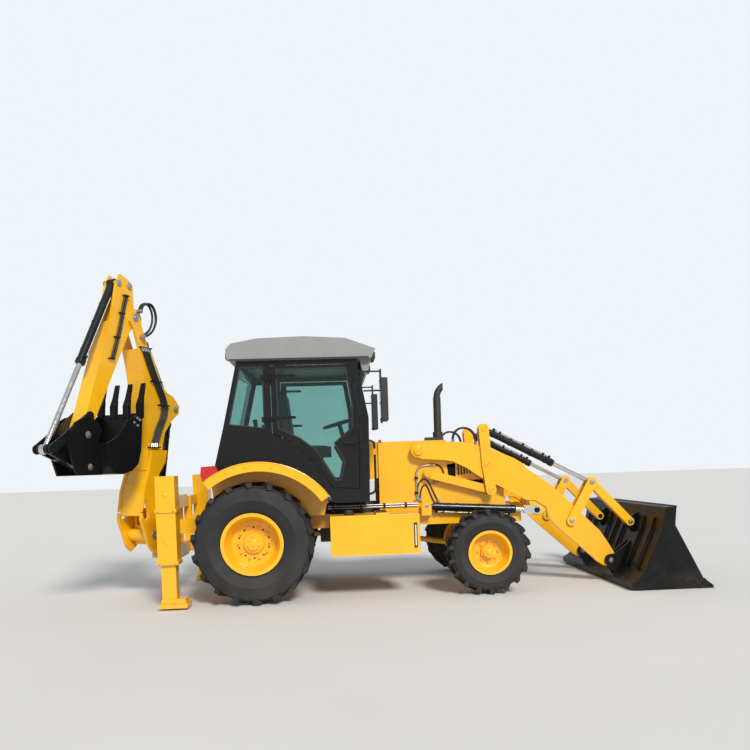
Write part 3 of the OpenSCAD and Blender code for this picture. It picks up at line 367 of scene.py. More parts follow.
def clip(bm, low, high, radii, outer, reach):
    """A hose clip on the right of the digging arm: two bars, the outer one thinner, and two posts."""
    bar, thin, post = radii
    rod(bm, low, high, bar, 8)
    rod(bm, low - HOE_SIDE * outer, high - HOE_SIDE * outer, thin, 8)
    for end in (low, high):
        rod(bm, end, end - HOE_SIDE * reach, post, 8)


def at_y(points, y):
    """Points of a side view set at one y."""
    return [(x, y, z) for x, z in points]


def both_ends(points):
    """The first and last point of a run, each with the direction into it."""
    for a, b in ((points[0], points[1]), (points[-1], points[-2])):
        yield Vector(a), (Vector(b) - Vector(a)).normalized()


def around(centre, radius, count, start=0):
    """Points evenly set on a circle in the side view, the first turned from the top by start degrees."""
    for i in range(count):
        a = radians(360 / count * i + start)
        yield centre + Vector((radius * sin(a), 0, radius * cos(a)))


def smooth_path(points, count=8):
    """Points of a rounded path through the given ones."""
    points = [Vector(p) for p in points]
    ends = [points[0] * 2 - points[1]] + points + [points[-1] * 2 - points[-2]]
    path = []
    for i in range(1, len(ends) - 2):
        a, b, c, d = ends[i - 1:i + 3]
        for step in range(count):
            t = step / count
            path.append(0.5 * ((2 * b) + (c - a) * t + (2 * a - 5 * b + 4 * c - d) * t * t
                               + (3 * b - a - 3 * c + d) * t ** 3))
    return path + [points[-1]]


def tube(name, points, radius, body):
    """A hose along a rounded path, made as a round curve of the given radius."""
    path = smooth_path(points)
    curve = bpy.data.curves.new(name, "CURVE")
    curve.dimensions = "3D"
    curve.bevel_depth = radius
    curve.bevel_resolution = 3
    curve.use_fill_caps = True
    spline = curve.splines.new("POLY")
    spline.points.add(len(path) - 1)
    for point, place in zip(spline.points, path):
        point.co = (*place, 1.0)
    spline.use_smooth = True
    piece = place_piece(name, curve, body, "hose")


def curve_rod(bm, points, radius, count=6):
    """A bent steel bar or pipe through rounded points, joined run by run."""
    path = smooth_path(points, count)
    for a, b in zip(path, path[1:]):
        rod(bm, a, b, radius, 12)
    for point in path[1:-1]:
        bmesh.ops.create_uvsphere(bm, u_segments=12, v_segments=6, radius=radius,
                                  matrix=Matrix.Translation(point))


def pad(name, low, high, lean):
    """A crowned seat pad with a sewn rim, leaning back by an angle about its lower rear edge."""
    low, high = Vector(low), Vector(high)
    middle, half = (low + high) / 2, (high - low) / 2
    rim, seam, seam_width, seam_depth, gather = 0.72, 0.66, 0.08, 0.1, 0.05
    bm = bmesh.new()
    bmesh.ops.create_cube(bm, size=2.0)
    bmesh.ops.subdivide_edges(bm, edges=bm.edges, cuts=6, use_grid_fill=True)
    thin = min(range(3), key=lambda k: half[k])
    for vert in bm.verts:
        c = vert.co.copy()
        flat = [abs(c[k]) for k in range(3) if k != thin]
        fall = (1 - flat[0] ** 4) * (1 - flat[1] ** 4)
        c[thin] *= rim + (1 - rim) * fall ** 0.5
        if min(abs(place - seam) for place in flat) < seam_width and abs(vert.co[thin]) > 0.9:
            c[thin] -= seam_depth * (1 if c[thin] > 0 else -1)
        for k in range(3):
            if k != thin:
                c[k] *= 1 - gather * (1 - min(1, fall + 0.35))
        vert.co = Vector((c[k] * half[k] for k in range(3)))
    foot = Vector((0, 0, -half.z))
    place = Matrix.Translation(middle + foot) @ Matrix.Rotation(lean, 4, "Y") @ Matrix.Translation(-foot)
    bmesh.ops.transform(bm, matrix=place, verts=bm.verts)
    piece = finish_piece(name, bm, "chassis", "seat_cloth")
    smooth = piece.modifiers.new("soft", "SUBSURF")
    smooth.levels = 1
    smooth.render_levels = 1


def hoe_point(r, z, y=0.0):
    """A point of the backhoe's own plane, y to its left, in the machine's frame."""
    return Vector((SWING_X - r * cos(SWING) - y * sin(SWING), -r * sin(SWING) + y * cos(SWING), z))


HOE_SIDE = Vector((-sin(SWING), cos(SWING), 0))


# Sizes and colours a user may change

def colour(name, description, default):
    return FloatVectorProperty(name=name, description=description, subtype="COLOR", size=3, default=default,
                               min=0, max=1)


def share(name, description, default):
    return FloatProperty(name=name, description=description, default=default, min=0, max=1, subtype="FACTOR")


def size(name, description, default, low, high):
    return FloatProperty(name=name, description=description, default=default, min=low, max=high,
                         unit="LENGTH")


class LoaderPaint(bpy.types.PropertyGroup):
    """Colours of the machine."""
    body: colour("Body paint", "Colour of frame, arms and fenders", (0.9, 0.455, 0.003))
    trim: colour("Cab paint", "Colour of cab, cylinders and buckets", (0.007, 0.007, 0.0075))
    roof: colour("Roof", "Colour of the roof shell", (0.25, 0.26, 0.25))
    glass: colour("Glass tint", "Colour seen through the glass", (0.55, 0.83, 0.76))
    dust: share("Dust", "How much dust lies on the machine", 0.1)
    wear: share("Wear", "How far paint is rubbed from edges", 0.4)


class LoaderFittings(bpy.types.PropertyGroup):
    """Sizes of the small fittings."""
    hose: size("Hose radius", "Outer radius of a hydraulic hose", 0.0125, 0.006, 0.02)
    pipe: size("Pipe radius", "Outer radius of a steel line", 0.009, 0.005, 0.016)
    bolt: size("Bolt head", "Radius of a common bolt head", 0.012, 0.006, 0.02)
    seal: size("Seal width", "Width of a window seal", 0.012, 0.006, 0.02)


class LoaderStage(bpy.types.PropertyGroup):
    """Camera and light."""
    lens: FloatProperty(name="Lens", description="Focal length", default=34.19, min=20, max=100,
                        subtype="DISTANCE_CAMERA")
    key: FloatProperty(name="Key light", description="Strength of the main light", default=3.1, min=0, max=10)
    fill: FloatProperty(name="Sky light", description="Strength of the light from all sides", default=0.6,
                        min=0, max=3)


class LOADER_OT_finishes(bpy.types.Operator):
    """Build the materials and give each CAD node its finish"""
    bl_idname = "loader.finishes"
    bl_label = "Finishes"

    def execute(self, context):
        GROUPS.update(dust=dust_group(), edge=edge_group(), grain=grain_group())
        p = context.scene.loader_paint
        body, trim, roof = tuple(p.body), tuple(p.trim), tuple(p.roof)
        finish_material("yellow", body, 0.32, p.dust, 0.12, coat=0.4, wear=p.wear * 0.5, fine=420.0,
                        bump=0.00012)
        finish_material("black", trim, 0.26, p.dust * 0.6, 0.06, coat=0.12, wear=p.wear * 0.35, bump=0.00015,
                        shine=0.3)
        finish_material("bucket", trim, 0.34, p.dust * 0.2, 0.05, wear=p.wear * 0.8,
                        wear_color=(0.32, 0.31, 0.3), coat=0.04, ripple=7.0, bump=0.0004, patch=3.0,
                        shine=0.15)
        finish_material("roof", roof, 0.48, p.dust * 1.3, 0.0, fine=700.0, bump=0.0003)
        finish_material("rubber", (0.014, 0.014, 0.015), 0.72, 0.12, 0.28, fine=260.0, bump=0.0006,
                        dust_color=(0.13, 0.12, 0.105), patch=3.5)
        finish_material("plastic", (0.02, 0.02, 0.022), 0.6, 0.15, 0.2, fine=900.0, bump=0.0003)
        finish_material("hose", (0.012, 0.012, 0.013), 0.5, 0.15, 0.2, fine=500.0, bump=0.0003)
        finish_material("engine", (0.03, 0.031, 0.033), 0.55, 0.35, 0.5, fine=120.0, bump=0.0012)
        finish_material("chrome", (0.74, 0.74, 0.76), 0.1, 0.04, 0.1, metallic=1.0, fine=900.0, bump=0.00003)
        finish_material("steel", (0.5, 0.5, 0.51), 0.34, 0.15, 0.3, metallic=1.0, fine=500.0, bump=0.0001)
        finish_material("stack", (0.03, 0.028, 0.026), 0.5, 0.3, 0.0, fine=200.0, bump=0.0005,
                        dust_color=(0.2, 0.11, 0.06))
        finish_material("seat_cloth", (0.035, 0.036, 0.04), 0.85, 0.1, 0.0, fine=1400.0, bump=0.0008)
        finish_material("red_lens", (0.5, 0.012, 0.008), 0.16, 0.1, 0.0, coat=0.6, fine=160.0, bump=0.0006)
        finish_material("amber_lens", (0.85, 0.24, 0.01), 0.16, 0.1, 0.0, coat=0.6, fine=160.0, bump=0.0006)
        finish_material("clear_lens", (0.78, 0.8, 0.82), 0.12, 0.05, 0.0, coat=0.8, fine=120.0, bump=0.0008)
        finish_material("mirror", (0.85, 0.86, 0.88), 0.03, 0.0, 0.0, metallic=1.0, bump=0.00001)
        glass_material("glass", tuple(p.glass))
        slots = {"yellow_paint": "yellow", "black_paint": "black", "dark_plastic": "plastic",
                 "grey_roof": "roof", "rod_steel": "chrome", "window_glass": "glass", "red_lens": "red_lens",
                 "tyre_rubber": "rubber", "pin_steel": "steel"}
        special = {"engine": "engine", "exhaust": "stack", "bucket": "bucket", "hoe_bucket": "bucket"}
        for part in frame["record"]["subparts"]:
            node = frame["nodes"][part["node"]]
            key = special.get(part["node"], slots[part["material_slot"]])
            for slot in node.material_slots:
                slot.material = MATERIALS[key]
        return {"FINISHED"}


class LOADER_OT_wheels(bpy.types.Operator):
    """Add the wheel nuts and hub caps"""
    bl_idname = "loader.wheels"
    bl_label = "Wheel hardware"

    def execute(self, context):
        # end, hub x, y, z; nuts: count, turn, circle, face, bars; cap; its bolts: count, circle, face, size
        hubs = [("rear", 0, 0.872, 0.655, 10, 18, 0.1675, 0.04,
                 [(-0.002, 0.004, 0.02, 16), (0, 0.022, 0.0165, 6), (0.02, 0.036, 0.0095, 12)],
                 [(0, 0.112), (0.034, 0.112), (0.042, 0.108), (0.044, 0.1)], 6, 0.06, 0.106, 0.008, 0.006),
                ("front", 2.54, 0.868, 0.46, 8, 0, 0.112, 0.028,
                 [(-0.002, 0.003, 0.017, 16), (0, 0.018, 0.0135, 6), (0.016, 0.028, 0.008, 12)],
                 [(0, 0.108), (0.026, 0.108), (0.034, 0.103), (0.036, 0.095)], 5, 0.047, 0.096, 0.007, 0.005)]
        for side, hand in SIDES:
            out = Vector((0, hand, 0))
            for end, x, y, z, nuts, turn, circle, face, bars, cap, bolts, ring, cap_face, *head in hubs:
                centre = Vector((x, y * hand, z))
                bm = bmesh.new()
                for at in around(centre + out * face, circle, nuts, turn):
                    stacked(bm, at, out, bars)
                turned(bm, cap, centre, out, 32)
                for at in around(centre + out * cap_face, ring, bolts):
                    bolt(bm, at, out, *head)
                finish_piece(f"{end}_nuts_{side}", bm, f"wheel_{end}_{side}", "yellow", 0.0012)
        return {"FINISHED"}


def pin_end(bm, point, y, hand, radius, bolts):
    """The finished end of a linkage pin: collar, keeper bolt and grease nipple."""
    x, z = point
    out = Vector((0, hand, 0))
    at = Vector((x, y * hand, z))
    turned(bm, [(0, 0.01), (radius * 0.35, 0.01), (radius * 0.4, 0.006), (radius * 0.92, 0.006),
                (radius, 0.002), (radius, -0.002)], at, out, 28)
    for i in range(bolts):
        a = radians(35 + 180 * i)
        bolt(bm, at + Vector((radius * 0.68 * cos(a), 0, radius * 0.68 * sin(a))) + out * 0.005, out, 0.007,
             0.005)
    rod(bm, at + out * 0.008, at + out * 0.016, 0.004, 8)


class LOADER_OT_pins(bpy.types.Operator):
    """Add pin ends to the loader linkage"""
    bl_idname = "loader.pins"
    bl_label = "Loader pins"

    def execute(self, context):
        # name, pivot, face distance from the centre plane, radius, bolts, body, material
        ends = [("arm", ARM, 0.522, 0.052, 2, "chassis", "yellow"),
                ("level", LEVEL, 0.505, 0.036, 1, "chassis", "yellow"),
                ("plate_mid", PLATE_MID, 0.53, 0.036, 1, "lever_plates", "yellow"),
                ("plate_top", PLATE_TOP, 0.53, 0.036, 1, "lever_plates", "yellow"),
                ("plate_low", PLATE_LOW, 0.53, 0.036, 1, "lever_plates", "yellow"),
                ("rocker", ROCKER, 0.541, 0.026, 1, "rocker_pins", "steel"),
                ("top", TOP, 0.541, 0.026, 1, "link_pins", "steel"),
                ("bucket", BUCKET, 0.536, 0.026, 1, "bucket_pins", "steel"),
                ("upper", UPPER, 0.517, 0.026, 1, "bucket", "steel"),
                ("lift", LIFT, 0.512, 0.026, 1, "chassis", "steel"),
                ("lift_eye", LIFT_EYE, 0.515, 0.034, 1, "lift_rods", "black")]
        for name, point, y, radius, bolts, body, material in ends:
            bm = bmesh.new()
            for hand in (-1, 1):
                pin_end(bm, point, y, hand, radius, bolts)
            finish_piece(f"pin_{name}", bm, body, material, 0.0008)
        return {"FINISHED"}


class LOADER_OT_cylinders(bpy.types.Operator):
    """Add glands, ports, steel lines and clamps to the loader cylinders"""
    bl_idname = "loader.cylinders"
    bl_label = "Loader cylinders"

    def execute(self, context):
        # name, pin, rod's pin, tube radius, distance of the gland, body, side of the ports
        rams = [("lift", LIFT, LIFT_EYE, 0.047, 1.025, "lift_tubes", -1),
                ("tilt", PLATE_TOP, TOP, 0.038, 0.9, "tilt_tubes", 1)]
        for name, start, end, radius, gland, body, up in rams:
            bm, lines = bmesh.new(), bmesh.new()
            direction = Vector((end[0] - start[0], 0, end[1] - start[1])).normalized()
            normal = Vector((-direction.z, 0, direction.x)) * up
            for hand in (-1, 1):
                def at(distance, off=0.0):
                    return Vector((start[0], ARM_Y * hand, start[1])) + direction * distance + normal * off
                turned(bm, [(radius - 0.014, 0.012), (radius + 0.002, 0.012), (radius + 0.005, 0.008),
                            (radius + 0.005, 0.0)], at(gland), direction, 40)
                for distance in (0.13, 0.35, 0.62, gland - 0.09):
                    band(bm, at(distance), direction, radius, 0.004, 0.016)
                for distance in (0.12, gland - 0.06):
                    rod(bm, at(distance, radius - 0.004), at(distance, radius + 0.026), 0.016, 6)
                for distance in (0.2, 0.5, gland - 0.14):
                    stacked(bm, at(distance, radius + 0.012), direction, [(-0.012, 0.012, 0.015, 12)])
                run = [at(0.12, radius + 0.02), at(0.155, radius + 0.013), at(gland - 0.09, radius + 0.013),
                       at(gland - 0.06, radius + 0.02)]
                for a, b in zip(run, run[1:]):
                    rod(lines, a, b, 0.008, 10)
            finish_piece(f"{name}_glands", bm, body, "black", 0.0008)
            finish_piece(f"{name}_lines", lines, body, "steel")
        return {"FINISHED"}


# Openings of the cab's side, x and z
GLASS_HOLE = [(0.29, 2.52), (1.05, 2.52), (1.11, 2.11), (1.104, 1.865), (0.905, 1.7), (1.01, 1.5),
              (0.965, 1.29), (0.89, 1.29), (0.736, 1.548), (0.684, 1.632), (0.526, 1.759), (0.29, 1.88)]
QUARTER_HOLE = [(-0.1, 2.545), (0.15, 2.545), (0.15, 1.88), (-0.24, 1.93)]


def grown(outline, width):
    """An outline moved outward by a width, corner by corner."""
    count = len(outline)
    area = sum(outline[i - 1][0] * z - x * outline[i - 1][1] for i, (x, z) in enumerate(outline))
    sign = 1 if area > 0 else -1
    result = []
    for i in range(count):
        a, b, c = (Vector(outline[(i + k - 1) % count]) for k in range(3))
        n1 = Vector(((b - a).y, -(b - a).x)).normalized() * sign
        n2 = Vector(((c - b).y, -(c - b).x)).normalized() * sign
        m = (n1 + n2).normalized()
        result.append(tuple(b + m * (width / max(0.4, m.dot(n1)))))
    return result


def frame_ring(bm, outline, width, y0, y1):
    """A flat ring round an opening: the strip between an outline and a smaller one."""
    outer, inner = outline, grown(outline, -width)
    count = len(outer)
    rows = []
    for y in (y0, y1):
        rows.append([bm.verts.new((x, y, z)) for x, z in outer])
        rows.append([bm.verts.new((x, y, z)) for x, z in inner])
    for i in range(count):
        j = (i + 1) % count
        for a, b in ((0, 1), (1, 3), (3, 2), (2, 0)):
            bm.faces.new((rows[a][i], rows[a][j], rows[b][j], rows[b][i]))


class LOADER_OT_cab(bpy.types.Operator):
    """Add window seals, latches, hinges, wiper, lamps and mirror glass to the cab"""
    bl_idname = "loader.cab"
    bl_label = "Cab fittings"

    def execute(self, context):
        seal = context.scene.loader_fittings.seal
        for side, hand in SIDES:
            for name, hole, body in (("door", GLASS_HOLE, f"door_{side}"),
                                     ("quarter", QUARTER_HOLE, "chassis")):
                bm = bmesh.new()
                frame_ring(bm, grown(hole, 0.004), seal + 0.004, 0.788 * hand, 0.8035 * hand)
                finish_piece(f"{name}_seal_{side}", bm, body, "hose", 0.002, recalc=True)
            bm = bmesh.new()
            out, hinge = Vector((0, hand, 0)), 0.812 * hand
            for z in (1.978, 2.43):
                for x in (0.3, 0.38, 0.45):
                    bolt(bm, (x, hinge, z + 0.0155), out, 0.008, 0.006)
            rod(bm, (1.0, 0.826 * hand, 1.7), (1.112, 0.826 * hand, 1.7), 0.012, 12)
            slab(bm, [(0.975, 1.655), (1.135, 1.69), (1.132, 1.745), (0.985, 1.735)], 0.7995 * hand,
                 0.8065 * hand)
            rod(bm, (1.115, 0.8 * hand, 1.652), (1.115, hinge, 1.652), 0.014, 20)
            finish_piece(f"door_latch_{side}", bm, f"door_{side}", "black", 0.0015, recalc=True)
            bm = bmesh.new()
            for z in (1.978, 2.43):
                for x in (0.135, 0.175):
                    for off in (0.014, -0.014):
                        bolt(bm, (x, hinge, z + off), out, 0.008, 0.006)
            finish_piece(f"hinge_bolts_{side}", bm, "chassis", "black", 0.0008)
        # mirror housings with their glass
        bm, glass = bmesh.new(), bmesh.new()
        for hand in (-1, 1):
            box(bm, (1.409, 0.768 * hand, 1.918), (1.488, 0.992 * hand, 2.382))
            plate(glass, 1.4075, 1.95, 1.4085, 2.35, 0.796 * hand, 0.966 * hand)
            rod(bm, (1.425, 0.788 * hand, 1.9), (1.425, 0.788 * hand, 2.5), 0.0115, 16)
        finish_piece("mirror_housing", bm, "chassis", "plastic", 0.026, recalc=True)
        finish_piece("mirror_glass", glass, "chassis", "mirror", recalc=True)
        # roof: work lamps front and rear, drip edge
        housing, lens = bmesh.new(), bmesh.new()
        for y in (-0.62, -0.42, 0.42, 0.62):
            box(housing, (1.335, y - 0.07, 2.63), (1.382, y + 0.07, 2.7))
            box(lens, (1.3815, y - 0.06, 2.64), (1.385, y + 0.06, 2.692))
        for y in (-0.62, 0.62):
            box(housing, (-0.262, y - 0.07, 2.655), (-0.225, y + 0.07, 2.725))
            box(lens, (-0.2655, y - 0.06, 2.664), (-0.2615, y + 0.06, 2.716))
        finish_piece("work_lamps", housing, "chassis", "plastic", 0.006, recalc=True)
        finish_piece("work_lenses", lens, "chassis", "clear_lens", 0.001, recalc=True)
        bm = bmesh.new()
        for hand in (-1, 1):
            plate(bm, -0.2, 2.6165, 1.3, 2.632, 0.838 * hand, 0.846 * hand)
        finish_piece("roof_trim", bm, "chassis", "plastic", 0.0015, recalc=True)
        # grab rails with their markers
        rails, marks = bmesh.new(), bmesh.new()
        for hand in (-1, 1):
            curve_rod(rails, [(1.262, 0.785 * hand, 1.13), (1.315, 0.79 * hand, 1.15),
                              (1.335, 0.792 * hand, 1.22), (1.335, 0.792 * hand, 1.64),
                              (1.322, 0.79 * hand, 1.7), (1.272, 0.785 * hand, 1.72)], 0.0125)
            box(marks, (1.3195, 0.8 * hand, 1.56), (1.3505, 0.816 * hand, 1.625))
        finish_piece("grab_rails", rails, "chassis", "black")
        finish_piece("side_markers", marks, "chassis", "amber_lens", 0.004, recalc=True)
        # wiper on the sloping pane
        def pane(z, y, off):
            return Vector((1.281 - (z - 1.9695) * 0.17565 + off, y, z))
        bm = bmesh.new()
        for a, b, radius, sides in [((2.5, 0.0, -0.002), (2.5, 0.0, 0.026), 0.02, 20),
                                    ((2.5, 0.0, 0.02), (2.22, 0.21, 0.018), 0.006, 10),
                                    ((2.42, 0.12, 0.01), (2.03, 0.3, 0.01), 0.006, 10),
                                    ((2.42, 0.12, 0.004), (2.03, 0.3, 0.004), 0.004, 8),
                                    ((2.225, 0.21, 0.006), (2.225, 0.21, 0.022), 0.009, 12)]:
            rod(bm, pane(*a), pane(*b), radius, sides)
        finish_piece("wiper", bm, "chassis", "plastic")
        # seat pads, lever knobs and buttons
        pad("seat_pad", (0.33, -0.268, 1.585), (0.868, 0.268, 1.705), 0.0)
        pad("seat_back", (0.325, -0.246, 1.668), (0.445, 0.246, 2.296), radians(-8.3))
        bm = bmesh.new()
        for hand in (-1, 1):
            rod(bm, (0.0235, 0.5 * hand, 1.92), (0.014, 0.5 * hand, 2.0), 0.022, 20, 0.026)
            turned(bm, [(0.034, 0.0), (0.03, 0.02), (0.018, 0.05), (0.014, 0.06)], (0.0585, 0.5 * hand, 1.64),
                   (-0.11, 0, 1), 24)
            for x in (0.14, 0.2, 0.26):
                rod(bm, (x, 0.46 * hand, 1.638), (x, 0.46 * hand, 1.652), 0.012, 16)
        finish_piece("console_knobs", bm, "chassis", "plastic", 0.002)
        return {"FINISHED"}


class LOADER_OT_body(bpy.types.Operator):
    """Add the fittings of the tank, toolbox, frame, grilles, lamps and fenders"""
    bl_idname = "loader.body"
    bl_label = "Chassis and hood fittings"

    def execute(self, context):
        f = context.scene.loader_fittings
        # fuel tank gauge and cap
        bm = bmesh.new()
        plate(bm, 1.722, 0.545, 1.758, 0.815, -0.99, -0.994)
        for z in (0.56, 0.8):
            rod(bm, (1.74, -0.99, z), (1.74, -1.006, z), 0.015, 6)
        finish_piece("gauge_back", bm, "chassis", "plastic", 0.0015, recalc=True)
        bm = bmesh.new()
        rod(bm, (1.74, -1.0, 0.565), (1.74, -1.0, 0.795), 0.007, 16)
        finish_piece("gauge_tube", bm, "chassis", "clear_lens")
        bm = bmesh.new()
        cap, up, grip = Vector((1.03, -0.8, 0.908)), Vector((0, 0, 1)), 0.05
        turned(bm, [(0, 0.052), (0.03, 0.052), (0.044, 0.046), (grip, 0.036), (grip, 0.012), (0.058, 0.01),
                    (0.058, -0.004)], cap, up, 40)
        for a in range(0, 360, 30):
            at = cap + Vector((grip * cos(radians(a)), grip * sin(radians(a)), 0))
            stacked(bm, at, up, [(0.012, 0.036, 0.005, 8)])
        finish_piece("tank_cap", bm, "chassis", "plastic")
        # welded seams of the tank and tool box, and the bolts of their brackets
        bm = bmesh.new()
        for hand in (-1, 1):
            y = 0.988 * hand
            for x in (0.826, 1.784):
                rod(bm, (x, y, 0.482), (x, y, 0.904), 0.0035, 8)
            for z in (0.482, 0.906):
                rod(bm, (0.826, y, z), (1.784, y, z), 0.0035, 8)
            for x in (0.9, 1.7):
                for z in (0.815, 0.845):
                    for off in (-0.02, 0.02):
                        bolt(bm, (x + off, 0.405 * hand, z), (0, hand, 0), f.bolt)
        finish_piece("tank_seams", bm, "chassis", "yellow")
        # checked plate on the tank step
        bm = bmesh.new()
        plate(bm, 1.326, 0.932, 1.446, 0.936, -0.955, -0.565)
        for i in range(5):
            for j in range(16):
                x, y = 1.34 + 0.023 * i, -0.942 + 0.0245 * j
                turn = 0.006 if (i + j) % 2 else -0.006
                rod(bm, (x - 0.006, y - turn, 0.9365), (x + 0.006, y + turn, 0.9365), 0.0022, 6)
        finish_piece("step_plate", bm, "chassis", "black", recalc=True)
        # tool box door with hinge, lock and handle on the left
        bm = bmesh.new()
        plate(bm, 0.85, 0.51, 1.15, 0.88, 0.99, 0.994)
        rod(bm, (0.86, 0.994, 0.882), (1.14, 0.994, 0.882), 0.006, 12)
        curve_rod(bm, [(0.955, 0.992, 0.7), (0.957, 1.008, 0.702), (1.043, 1.008, 0.702),
                       (1.045, 0.992, 0.7)], 0.005)
        turned(bm, [(0, 0.008), (0.012, 0.008), (0.014, 0.004), (0.014, -0.002)], (1.0, 0.994, 0.6),
               (0, 1, 0), 24)
        finish_piece("toolbox_door", bm, "chassis", "yellow", 0.001, recalc=True)
        # steel lines with clamps on both side plates, and the pipe that climbs the tower
        lines, clamps = bmesh.new(), bmesh.new()
        for hand in (-1, 1):
            for z in (0.962, 0.988):
                curve_rod(lines, at_y([(0.8, z), (1.0, z), (1.6, z), (1.835, z)], 0.416 * hand), f.pipe, 3)
            # x, foot and inner face of each clamp
            for x, z, y in ((0.86, 0.898, 0.385), (1.18, 0.898, 0.385), (1.45, 0.944, 0.4),
                            (1.7, 0.944, 0.4)):
                plate(clamps, x - 0.014, z, x + 0.014, 1.004, y * hand, 0.4065 * hand)
                plate(clamps, x - 0.013, 0.95, x + 0.013, 1.0, 0.4065 * hand, 0.427 * hand)
                bolt(clamps, (x, 0.427 * hand, 0.975), (0, hand, 0), 0.008, 0.006)
            y = 0.417 * hand
            curve_rod(lines, at_y([(1.8, 1.02), (1.83, 1.06), (1.83, 1.3), (1.85, 1.38), (1.91, 1.42),
                                   (2.01, 1.428)], y),
                      f.pipe + 0.001, 5)
            for z in (1.11, 1.28):
                plate(clamps, 1.81, z - 0.014, 1.85, z + 0.014, 0.4 * hand, 0.428 * hand)
                bolt(clamps, (1.83, 0.428 * hand, z), (0, hand, 0), 0.007, 0.005)
            rod(lines, (2.0, y, 1.428), (2.03, y, 1.428), 0.016, 6)
        finish_piece("frame_lines", lines, "chassis", "steel")
        finish_piece("line_clamps", clamps, "chassis", "black", 0.0012, recalc=True)
        # panel behind the grille's wires, and the hood's latches and bolts
        panel, wires, latch = bmesh.new(), bmesh.new(), bmesh.new()
        for hand in (-1, 1):
            slab(panel, [(2.31, 1.285), (2.56, 1.31), (2.56, 1.48), (2.48, 1.54), (2.31, 1.572)],
                 0.3595 * hand, 0.3625 * hand)
            for i in range(24):
                z = 1.302 + 0.011 * i
                end = 2.556 if z < 1.48 else 2.556 - (z - 1.48) * 1.9
                rod(wires, (2.314, 0.3645 * hand, z), (end, 0.3645 * hand, z), 0.0018, 6)
            slab(latch, [(2.318, 1.6), (2.392, 1.592), (2.392, 1.622), (2.318, 1.628)], 0.3745 * hand,
                 0.381 * hand)
            rod(latch, (2.355, 0.374 * hand, 1.578), (2.355, 0.384 * hand, 1.578), 0.011, 16)
            for x, z in ((2.33, 1.262), (2.64, 1.262), (2.7, 1.33), (2.83, 1.15)):
                bolt(latch, (x, 0.375 * hand, z), (0, hand, 0), 0.009, 0.006)
        finish_piece("grille_panel", panel, "hood", "plastic", recalc=True)
        finish_piece("grille_wires", wires, "hood", "steel")
        finish_piece("hood_latches", latch, "hood", "black", 0.001, recalc=True)
        # nose: lamps and a barred grille
        bezel, lens, bars = bmesh.new(), bmesh.new(), bmesh.new()
        for y in (-0.245, 0.245):
            centre = (2.86, y, 1.245)
            for bm, profile in ((bezel, [(0.052, 0.01), (0.058, 0.02), (0.07, 0.016), (0.074, -0.002)]),
                                (bezel, [(0.0, 0.001), (0.052, 0.001), (0.052, 0.01)]),
                                (lens, [(0, 0.021), (0.02, 0.02), (0.04, 0.016), (0.052, 0.009)])):
                turned(bm, profile, centre, (1, 0, 0), 40)
        box(bars, (2.858, -0.3, 1.035), (2.862, 0.3, 1.15))
        for i in range(9):
            z = 1.042 + 0.0125 * i
            box(bars, (2.861, -0.298, z), (2.869, 0.298, z + 0.005))
        for i in range(7):
            y = -0.3 + 0.1 * i
            box(bars, (2.861, y - 0.004, 1.036), (2.872, y + 0.004, 1.149))
        finish_piece("lamp_bezels", bezel, "hood", "plastic", recalc=True)
        finish_piece("lamp_lenses", lens, "hood", "clear_lens", recalc=True)
        finish_piece("nose_grille", bars, "hood", "plastic")
        # fenders: edge bead and bolts, set on circles round the fender's centre
        bm = bmesh.new()
        for hand in (-1, 1):
            def arc(angle, radius, y):
                a = radians(angle)
                return Vector((0.08 + radius * cos(a), y * hand, 0.6 + radius * sin(a)))
            edge = [arc(a, 0.9155, 1.1255) for a in range(38, 127, 4)]
            for a, b in zip(edge, edge[1:]):
                rod(bm, a, b, 0.0055, 8)
            for a in (46, 62, 80, 98, 112):
                bolt(bm, arc(a, 0.868, 1.125), (0, hand, 0), 0.009, 0.006)
        finish_piece("fender_bead", bm, "chassis", "yellow")
        return {"FINISHED"}


